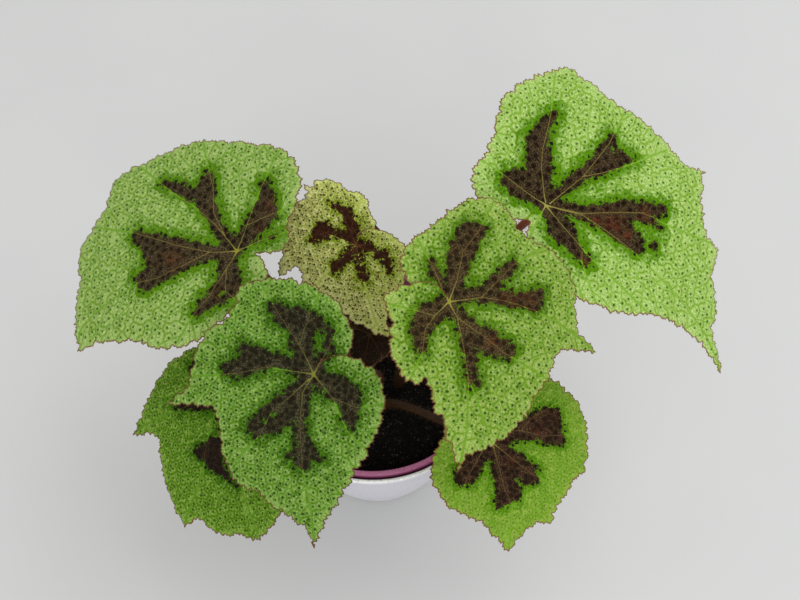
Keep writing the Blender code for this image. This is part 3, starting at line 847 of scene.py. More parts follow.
    def vein_samples(self) -> tuple[np.ndarray, np.ndarray, np.ndarray]:
        """Points along the main veins and along the side veins that leave them.

        Returns:
            Main vein places, their half widths, and side vein places.
        """
        places, widths, branches = [], [], []
        lines = [np.array(v, dtype=float) for v in self.veins]
        for line in lines:
            for a, b in zip(line, line[1:]):
                steps = max(2, int(np.linalg.norm(b - a) / 0.3))
                for t in np.arange(steps) / steps:
                    spot = a + (b - a) * t
                    places.append(spot)
                    widths.append(0.04 + 0.32 * math.exp(-float(np.hypot(*spot)) / 3.0))
        mains = np.array(places)
        tree = plane_tree(mains)
        rng = np.random.default_rng(ord(self.name) + 40)
        for line in lines:
            walked, due, side = 0.0, 1.6 * self.spacing, 1.0
            for a, b in zip(line, line[1:]):
                length = float(np.linalg.norm(b - a))
                heading = math.atan2(b[1] - a[1], b[0] - a[0])
                while due < walked + length:
                    spot = a + (b - a) * ((due - walked) / length)
                    way = heading + side * math.radians(rng.uniform(42.0, 58.0))
                    path = [spot]
                    for k in range(34):
                        way -= side * math.radians(0.9)
                        spot = spot + 0.8 * np.array([math.cos(way), math.sin(way)])
                        limit = self.outline_radius(np.degrees(np.arctan2(spot[1:], spot[:1])))[0]
                        close = tree.find((spot[0], spot[1], 0.0))[2]
                        if np.hypot(*spot) > limit - 0.8 or (k > 4 and close < 1.0):
                            break
                        path.append(spot)
                    for p, q in zip(path, path[1:]):
                        branches += [p + (q - p) * t for t in (0.0, 0.35, 0.7)]
                    due += 1.5 * self.spacing * rng.uniform(0.8, 1.25)
                    side = -side
                walked += length
        return mains, np.array(widths), np.array(branches)

    def bristle_spots(self, ring: np.ndarray, veins: np.ndarray) -> np.ndarray:
        """Places of the bristles: spread evenly, off the margin and off the main veins."""
        spots = honeycomb(ring, self.spacing, 0.23, ord(self.name) + 7)
        spots = spots[nearest(spots, ring)[1] > MARGIN_CLEAR]
        return spots[nearest(spots, veins)[1] > VEIN_CLEAR]

    def net_samples(self, spots: np.ndarray, veins: np.ndarray) -> np.ndarray:
        """Points along the fine veins, which fence the cells in by twos, threes and fours.

        Args:
            spots: Middles of the cells.
            veins: Points of the larger veins, beside which there is no fine vein.

        Returns:
            Places about half a millimetre apart.
        """
        rng = np.random.default_rng(ord(self.name) + 5)
        tree = plane_tree(spots)
        group = np.full(len(spots), -1)
        for i in rng.permutation(len(spots)):
            if group[i] < 0:
                close = [hit[1] for hit in tree.find_n((spots[i][0], spots[i][1], 0.0), 6)
                         if group[hit[1]] < 0 and 0.0 < hit[2] < 1.5 * self.spacing]
                group[[i, *close[:rng.integers(1, 4)]]] = i
        made = delaunay_2d_cdt([Vector(p) for p in spots], [], [], 0, 1e-7, False)
        corners = np.array([tuple(p) for p in made[0]])
        edges, lines = {}, []
        for tri in made[2]:
            (ax, ay), (bx, by), (cx, cy) = corners[list(tri)]
            spread = 2.0 * (ax * (by - cy) + bx * (cy - ay) + cx * (ay - by))
            a, b, c = ax * ax + ay * ay, bx * bx + by * by, cx * cx + cy * cy
            middle = np.array([a * (by - cy) + b * (cy - ay) + c * (ay - by),
                               a * (cx - bx) + b * (ax - cx) + c * (bx - ax)]) / spread
            for i, j in zip(tri, tri[1:] + tri[:1]):
                other = edges.pop((j, i), None)
                if other is None:
                    edges[i, j] = middle
                elif group[i] != group[j]:
                    length = float(np.linalg.norm(other - middle))
                    if length < 2.5 * self.spacing:
                        steps = max(1, round(length / 0.45))
                        lines += [middle + (other - middle) * k / steps for k in range(steps + 1)]
        lines = np.array(lines)
        return lines[nearest(lines, veins)[1] > 0.9]

    def seam_distance(self, flat: np.ndarray) -> tuple[np.ndarray, np.ndarray]:
        """Distance to the line where one lobe lies on the other, and the side of it."""
        best, side = np.full(len(flat), 99.0), np.zeros(len(flat))
        for start, end in zip(self.seam, self.seam[1:]):
            away = to_segment(flat, start, end)[1]
            step, from_start = np.subtract(end, start), flat - np.array(start)
            turn = step[0] * from_start[:, 1] - step[1] * from_start[:, 0]
            side = np.where(away < best, np.sign(turn), side)
            best = np.minimum(best, away)
        return best, side

    def drawn_points(self, ring: np.ndarray, lines: np.ndarray) -> np.ndarray:
        """Points that the upper mesh follows: thinned veins, and both sides of the seam."""
        drawn = lines[np.sort(np.unique(np.round(lines / VEIN_STEP), axis=0, return_index=True)[1])]
        drawn = drawn[inside(drawn, ring)]
        drawn = drawn[nearest(drawn, ring)[1] > 0.45]
        for a, b in zip(self.seam, self.seam[1:]):
            a, b = np.array(a), np.array(b)
            run = np.arange(0.0, 1.0, 0.35 / np.linalg.norm(b - a))[:, None]
            line, step = a + (b - a) * run, (b - a) / np.linalg.norm(b - a)
            out = np.array([-step[1], step[0]])
            drawn = np.vstack((drawn[nearest(drawn, line)[1] > 0.5], line + 0.1 * out, line - 0.2 * out))
        return drawn

    def redness(self, flat: np.ndarray) -> np.ndarray:
        """1 in the middle of a red blush, falling away round it."""
        red = np.zeros(len(flat))
        for x, y, radius in self.blushes:
            red = np.maximum(red, np.exp(-((flat[:, 0] - x) ** 2 + (flat[:, 1] - y) ** 2) / radius ** 2))
        return red

    def relief(self, flat: np.ndarray, rim: np.ndarray, off: np.ndarray, vein_off: np.ndarray,
               net_off: np.ndarray) -> np.ndarray:
        """Height of the skin: the smooth blade with a waved margin, mounds and puffed cells.

        Args:
            flat: Places on the blade.
            rim: Distance of each to the margin.
            off: Distance to the closest bristle.
            vein_off: Distance to the closest of the larger veins.
            net_off: Distance to the closest fine vein.

        Returns:
            Height above the blade's plane.
        """
        rise = self.height(flat)
        share = np.hypot(flat[:, 0], flat[:, 1]) / self.size
        turn = np.arctan2(flat[:, 1], flat[:, 0])
        rise += MARGIN_WAVE * np.exp(-rim / 4.0) * np.sin(31.0 * turn + 2.0 * np.sin(5.0 * turn)) * share
        mound = np.clip(off / (0.56 * self.spacing), 0.0, 1.0)
        rise += MOUND * self.spacing * (1.0 - mound ** 2) ** 2 * smooth(rim, 0.2, 1.6)
        puff = CELL_PUFF * (1.0 - np.exp(-np.maximum(0.0, vein_off) ** 2 / 3.0))
        puff += NET_PUFF * (1.0 - np.exp(-net_off ** 2 / 1.1))
        return rise + puff * smooth(rim, 0.0, 2.5)

    def blade(self, finish: bpy.types.Material, hairs: Carpet, hair: bpy.types.Material) -> None:
        """Build the blade's fine mesh with its marks, and its bristles.

        Args:
            finish: Leaf skin.
            hairs: Geometry Nodes tree that stands hairs on points.
            hair: Material of the bristles.
        """
        ring = self.edge()
        mains, widths, branches = self.vein_samples()
        bristles = self.bristle_spots(ring, mains)
        chance = np.random.default_rng(ord(self.name) + 90).uniform(0.0, 1.0, len(bristles))
        cell_cross = self.cross_distance(bristles)
        net = self.net_samples(bristles, np.vstack((mains, branches)))
        drawn = self.drawn_points(ring, np.vstack((mains, branches, net)))
        rim_line = np.vstack((ring, 0.5 * (ring + np.roll(ring, -1, axis=0))))
        points, faces, fields = [], [], []
        start = 0
        for under, step in ((0.0, self.grid), (1.0, UNDER_STEP)):
            inner = honeycomb(ring, step, 0.08, 5)
            inner = inner[nearest(inner, ring)[1] > min(0.42, 0.5 * step)]
            if not under:
                inner = np.vstack((drawn, inner[nearest(inner, drawn)[1] > 0.36]))
            flat, tris = filled(ring, inner)
            closest, off = nearest(flat, bristles)
            which, main_off = nearest(flat, mains)
            main_off = main_off - widths[which]
            side_off = nearest(flat, branches)[1]
            net_off = nearest(flat, net)[1]
            rim = nearest(flat, rim_line)[1]
            rim[:len(ring)] = 0.0
            cross = self.cross_distance(flat)
            red = self.redness(flat)
            rise = self.relief(flat, rim, off, np.minimum(main_off, side_off + 0.3), net_off)
            if self.seam:
                gap, side = self.seam_distance(flat)
                distance = np.hypot(flat[:, 0], flat[:, 1])
                lap = np.where(side > 0, 1.4 * (1.0 - smooth(gap, 0.0, 9.0)), -0.7 * np.exp(-gap / 2.5))
                rise += lap * smooth(distance, 1.5, 6.0)
                rim = np.where(side > 0, np.minimum(rim, gap), rim)
            if under:
                thick = 0.3 + 0.35 * smooth(rim, 0.0, 3.0)
                rise -= thick + 0.75 * np.exp(-np.maximum(0.0, main_off) ** 2 / 0.8) * smooth(rim, 0, 8)
                rise -= 0.3 * np.exp(-np.maximum(0.0, side_off) ** 2 / 0.5)
                tris = tris[:, ::-1]
            zero = np.zeros(len(flat))
            points.append(self.lifted(flat, rise))
            fields.append({"place": np.column_stack((flat, zero)),
                           "cell": np.column_stack((bristles[closest], zero)),
                           "marks": np.column_stack((cross, cell_cross[closest], main_off)),
                           "edges": np.column_stack((rim, side_off, zero + under)),
                           "spots": np.column_stack((red, chance[closest], net_off))})
            faces.append(tris + start)
            if not under:
                start = len(flat)
        near = np.arange(len(ring))
        after = np.roll(near, -1)
        faces.append(np.column_stack((near, near + start, after)))
        faces.append(np.column_stack((after, near + start, after + start)))
        skin = make_object(f"blade_{self.name}_skin", np.vstack(points), faces, finish, 70.0)
        for key in fields[0]:
            mark(skin, key, np.vstack([part[key] for part in fields]))
        attach(skin, f"blade_{self.name}")
        self.bristles(ring, bristles, hairs, hair)

    def bristles(self, ring: np.ndarray, spots: np.ndarray, hairs: Carpet,
                 hair: bpy.types.Material) -> None:
        """Stand a bristle on every cell and a fringe along the margin."""
        rng = np.random.default_rng(ord(self.name) + 11)
        along, across, normal = self.axes()
        fringe = ring[::3]
        out = outward(fringe, 1)
        plain = self.height(spots)
        base = plain + MOUND * self.spacing + PUFF
        slope = (self.height(spots + np.array([0.5, 0.0])) - plain) / 0.5
        lean = np.column_stack((-slope, np.zeros(len(spots))))
        upright = lean[:, :1] * along + lean[:, 1:] * across + normal
        sideways = out[:, :1] * along + out[:, 1:] * across + normal * 0.15
        points = np.vstack((self.lifted(spots, base), self.lifted(fringe - out * 0.1,
                                                                  self.height(fringe) - 0.15)))
        tall = np.concatenate((rng.uniform(0.7, 1.1, len(spots)), rng.uniform(0.35, 0.75, len(fringe))))
        ground = make_object("ground", points, [], hair)
        mark(ground, "axis", np.vstack((upright, sideways)))
        mark(ground, "tall", tall)
        piece = hairs.grow(f"blade_{self.name}_bristles", ground, hair, 0.045, self.bristle, 0.3,
                           ord(self.name))
        bpy.data.objects.remove(ground, do_unlink=True)
        attach(piece)

    def stalk(self, finish: bpy.types.Material, hairs: Carpet, hair: bpy.types.Material) -> None:
        """Build the fleshy stalk with its swollen ends and its coat of hairs."""
        normal = self.axes()[2]
        lean = np.array([*self.foot_lean, 1.0])
        lean /= np.linalg.norm(lean)
        foot = np.array([*self.foot, SOIL_TOP])
        start = foot + lean * 6.0
        cad_end = np.array(self.hub) - normal * (BLADE_THICKNESS + 2.8 * SEAT_GAP)
        out, back = self.reach
        p1, p2 = start + lean * out, cad_end - normal * back
        t = np.linspace(0.0, 1.0, 49)[:, None]
        curve = (start * (1 - t) ** 3 + p1 * (3 * t * (1 - t) ** 2) + p2 * (3 * t * t * (1 - t))
                 + cad_end * t ** 3)
        below = np.array([foot - lean * d for d in (19.0, 12.0, 5.0, 1.0, -2.5)])
        line = np.vstack((below, curve, cad_end + normal * 1.25))
        run = run_along(line)
        share = np.clip((run - run[5]) / (run[-1] - run[5]), 0.0, 1.0)
        radii = self.stalk_radius * (1.0 - 0.28 * share)
        radii = radii + 0.45 * self.stalk_radius * smooth(share, 0.955, 1.0)
        radii = radii + 0.04 * np.sin(run * 0.9 + ord(self.name)) * (share < 0.95)
        piece = lofted(f"petiole_{self.name}_skin", line, radii, 22, 0.07, finish)
        attach(piece, f"petiole_{self.name}")
        coat = hairs.grow(f"petiole_{self.name}_hairs", piece, hair, 0.055, 2.3, 0.45,
                          ord(self.name) + 3, 0.85)
        attach(coat)


def lofted(name: str, line: np.ndarray, radii: np.ndarray, sides: int, ribbing: float,
           finish: bpy.types.Material) -> bpy.types.Object:
    """Closed round stem along a line, faintly ribbed, with its run kept as an attribute.

    Args:
        name: Name of the piece.
        line: Centres, one row each.
        radii: Radius at each centre.
        sides: Corners of one ring.
        ribbing: Share of the radius that the ribs stand out.
        finish: Material of the stem.

    Returns:
        The new object.
    """
    side = np.array([0.0, 1.0, 0.0])
    turns = np.arange(sides) * 2.0 * np.pi / sides
    ribs = 1.0 + ribbing * np.sin(turns * 5.0)
    done = run_along(line)
    rows, runs = [], []
    for i, spot in enumerate(line):
        along = line[min(i + 1, len(line) - 1)] - line[max(i - 1, 0)]
        along = along / np.linalg.norm(along)
        side = side - along * (side @ along)
        side /= np.linalg.norm(side)
        spread = radii[i] * ribs
        across = np.outer(spread * np.cos(turns), side)
        across += np.outer(spread * np.sin(turns), np.cross(along, side))
        rows.append(spot + across)
        runs.append(np.column_stack((np.sin(turns) * 1.2, np.full(sides, done[i]),
                                     np.full(sides, done[i] / done[-1]))))
    piece = make_object(name, *closed_rings(rows, line[:1], line[-1:], True), finish)
    mark(piece, "run", np.vstack([*runs, (0.0, 0.0, 0.0), (0.0, done[-1], 1.0)]))
    return piece


@dataclass
class Rhizome:
    """Short thick stem with rings where older leaves stood."""

    x: float = 0.0
    y: float = -1.0
    radius: float = 5.0
    top: float = 96.0

    def build(self, finish: bpy.types.Material, hairs: Carpet, hair: bpy.types.Material) -> None:
        """Build the stem and its coat of hairs."""
        heights = np.concatenate((np.linspace(self.top - 27.0, SOIL_TOP - 2.0, 6),
                                  np.linspace(SOIL_TOP - 1.0, self.top - 0.05, 26)))
        rise = np.clip((heights - SOIL_TOP) / (self.top - SOIL_TOP), 0.0, 1.0)
        radii = self.radius * (1.0 + 0.05 * np.sin(heights * 2.1)) * (1.0 - 0.75 * rise ** 5)
        line = np.column_stack((np.full(len(heights), self.x), np.full(len(heights), self.y), heights))
        piece = lofted("rhizome_skin", line, radii * 0.97, 40, 0.03, finish)
        attach(piece, "rhizome")
        attach(hairs.grow("rhizome_hairs", piece, hair, 0.06, 2.6, 0.6, 31, 0.7))


@dataclass
class Soil:
    """Peat that fills the nursery pot, with loose crumbs, bark chips and a little grit on top."""

    lump: float = 1.3
    bottom: float = 6.2
    wall_inset: float = 1.75
    sides: int = 180

    def surface(self, x: np.ndarray, y: np.ndarray) -> np.ndarray:
        """Height of the lumpy top."""
        lumps = np.sin(0.21 * x + 0.6) * np.cos(0.17 * y - 0.3)
        lumps += 0.6 * np.sin(0.43 * x - 0.35 * y + 1.1) + 0.35 * np.cos(0.71 * y + 0.52 * x)
        lumps += 0.35 * np.sin(1.9 * x + 0.7 * y) * np.sin(1.6 * y - 0.6 * x)
        return SOIL_TOP + self.lump * lumps * 0.6

    def build(self, pot: NurseryPot, peat: bpy.types.Material, crumbs: Carpet,
              crumb: bpy.types.Material, chip: bpy.types.Material,
              grit: bpy.types.Material) -> None:
        """Build the bed, its crumbs, its bark chips and its grit.

        Args:
            pot: Pot that holds the soil.
            peat: Finish of the bed.
            crumbs: Geometry Nodes tree that scatters grains.
            crumb: Finish of the crumbs.
            chip: Finish of the bark chips.
            grit: Finish of the pale grit.
        """
        top_radius = pot.radius(SOIL_TOP - 3.0) - self.wall_inset
        profile = [(pot.base_radius - 3.4, self.bottom), (pot.radius(10.5) - self.wall_inset, 10.5),
                   (pot.radius(46.0) - self.wall_inset, 46.0), (top_radius, SOIL_TOP - 2.4)]
        rows = [circle(radius, height, self.sides) for radius, height in profile]
        for share in np.linspace(0.985, 0.02, 58):
            row = circle(top_radius * share, 0.0, self.sides)
            blend = smooth(np.full(self.sides, share), 0.9, 1.0)
            row[:, 2] = self.surface(row[:, 0], row[:, 1]) * (1.0 - blend) + (SOIL_TOP - 2.2) * blend
            rows.append(row)
        middle = self.surface(np.zeros(1), np.zeros(1))[0]
        points, faces = closed_rings(rows, np.array([0.0, 0.0, self.bottom]),
                                     np.array([0.0, 0.0, middle]), True)
        bed = make_object("soil_bed", points, faces, peat, 60.0)
        attach(bed, "soil")
        top = points[:, 2] > SOIL_TOP - 2.6
        flat = np.vstack(faces)
        ground = make_object("ground", points, [flat[top[flat].all(axis=1)]], peat)
        for name, material, width, length, seed, density in (
                ("soil_crumbs", crumb, 0.75, 0.7, 3, 0.42), ("soil_fines", crumb, 0.36, 0.34, 8, 0.6),
                ("soil_chips", chip, 1.1, 0.5, 34, 0.035), ("soil_grit", grit, 0.36, 0.3, 21, 0.045)):
            attach(crumbs.grow(name, ground, material, width, length, 0.7, seed, density))
        bpy.data.objects.remove(ground, do_unlink=True)


def turned(name: str, profile: list[tuple[float, float]], sides: int,
           finish: bpy.types.Material) -> bpy.types.Object:
    """Turn a profile of (radius, height) pairs that starts and ends on the axis.

    Args:
        name: Name of the piece.
        profile: Stations of the wall, from the outside to the inside.
        sides: Corners of one ring.
        finish: Material of the piece.

    Returns:
        The new closed object.
    """
    rows = [circle(radius, height, sides) for radius, height in profile[1:-1]]
    low, high = (np.array([0.0, 0.0, end[1]]) for end in (profile[0], profile[-1]))
    return make_object(name, *closed_rings(rows, low, high, False), finish, 50.0)


@dataclass
class OuterPot:
    """Tapered white cover pot with a thin rounded rim."""

    height: float = 104.0
    rim_radius: float = 66.0
    base_radius: float = 41.0
    wall: float = 2.6
    floor: float = 4.0
    bulge: float = 0.85
    sides: int = 192

    def radius(self, height: float) -> float:
        """Outer radius at a height."""
        share = max(0.0, height) / self.height
        return self.base_radius + (self.rim_radius - self.base_radius) * share ** self.bulge

    def build(self, finish: bpy.types.Material) -> None:
        """Turn the wall, the rounded rim and the floor."""
        base = self.radius(0.0)
        profile = [(0.0, 0.0), (base - 2.2, 0.0), (base - 1.2, 0.12), (base - 0.5, 0.5)]
        profile += [(self.radius(z), z) for z in (1.4, 4, 9, 15, 22, 30, 38, 47, 56, 65, 74, 83, 92, 99)]
        top, rim = self.height, self.rim_radius
        profile += [(rim - 0.03, top - 1.9), (rim - 0.1, top - 1.3), (rim - 0.35, top - 0.7),
                    (rim - 0.75, top - 0.22), (rim - 1.3, top), (rim - 1.85, top - 0.22),
                    (rim - 2.25, top - 0.7), (rim - 2.5, top - 1.4)]
        profile += [(self.radius(z) - self.wall, z) for z in (99, 88, 76, 62, 48, 34, 22, 12, 7)]
        inner = self.radius(self.floor) - self.wall
        profile += [(inner - 0.6, self.floor + 1.0), (inner - 1.4, self.floor + 0.3),
                    (inner - 2.6, self.floor), (0.0, self.floor)]
        attach(turned("outer_pot_shell", profile, self.sides, finish), "outer_pot")


@dataclass
class NurseryPot:
    """Thin mauve grower's pot with a rolled lip."""

    low: float = 4.3
    top: float = 102.4
    lip_height: float = 4.0
    lip_outer: float = 61.8
    lip_inner: float = 58.4
    top_radius: float = 60.6
    base_radius: float = 36.4
    wall: float = 1.4
    floor: float = 1.6
    sides: int = 192

    def radius(self, height: float) -> float:
        """Outer radius of the wall at a height."""
        share = (height - self.low) / (self.top - self.low)
        return self.base_radius + (self.top_radius - self.base_radius) * share

    def build(self, finish: bpy.types.Material) -> None:
        """Turn the wall, the rolled lip and the floor."""
        under = self.top - self.lip_height
        profile = [(0.0, self.low), (self.base_radius - 1.0, self.low),
                   (self.radius(self.low + 1.0), self.low + 1.0)]
        profile += [(self.radius(z), z) for z in (30.0, 60.0, 85.0, under)]
        outer, inner, top = self.lip_outer, self.lip_inner, self.top
        profile += [(outer - 0.25, under + 0.1), (outer, under + 0.5), (outer, top - 1.2),
                    (outer - 0.2, top - 0.6), (outer - 0.6, top - 0.15), (outer - 1.1, top),
                    (inner + 1.2, top), (inner + 0.6, top - 0.15), (inner + 0.15, top - 0.6),
                    (inner, top - 1.2)]
        profile += [(self.radius(z) - self.wall, z) for z in (92.0, 70.0, 40.0, self.low + 4.0)]
        profile += [(self.base_radius - 2.6, self.low + self.floor), (0.0, self.low + self.floor)]
        attach(turned("nursery_pot_shell", profile, self.sides, finish), "nursery_pot")


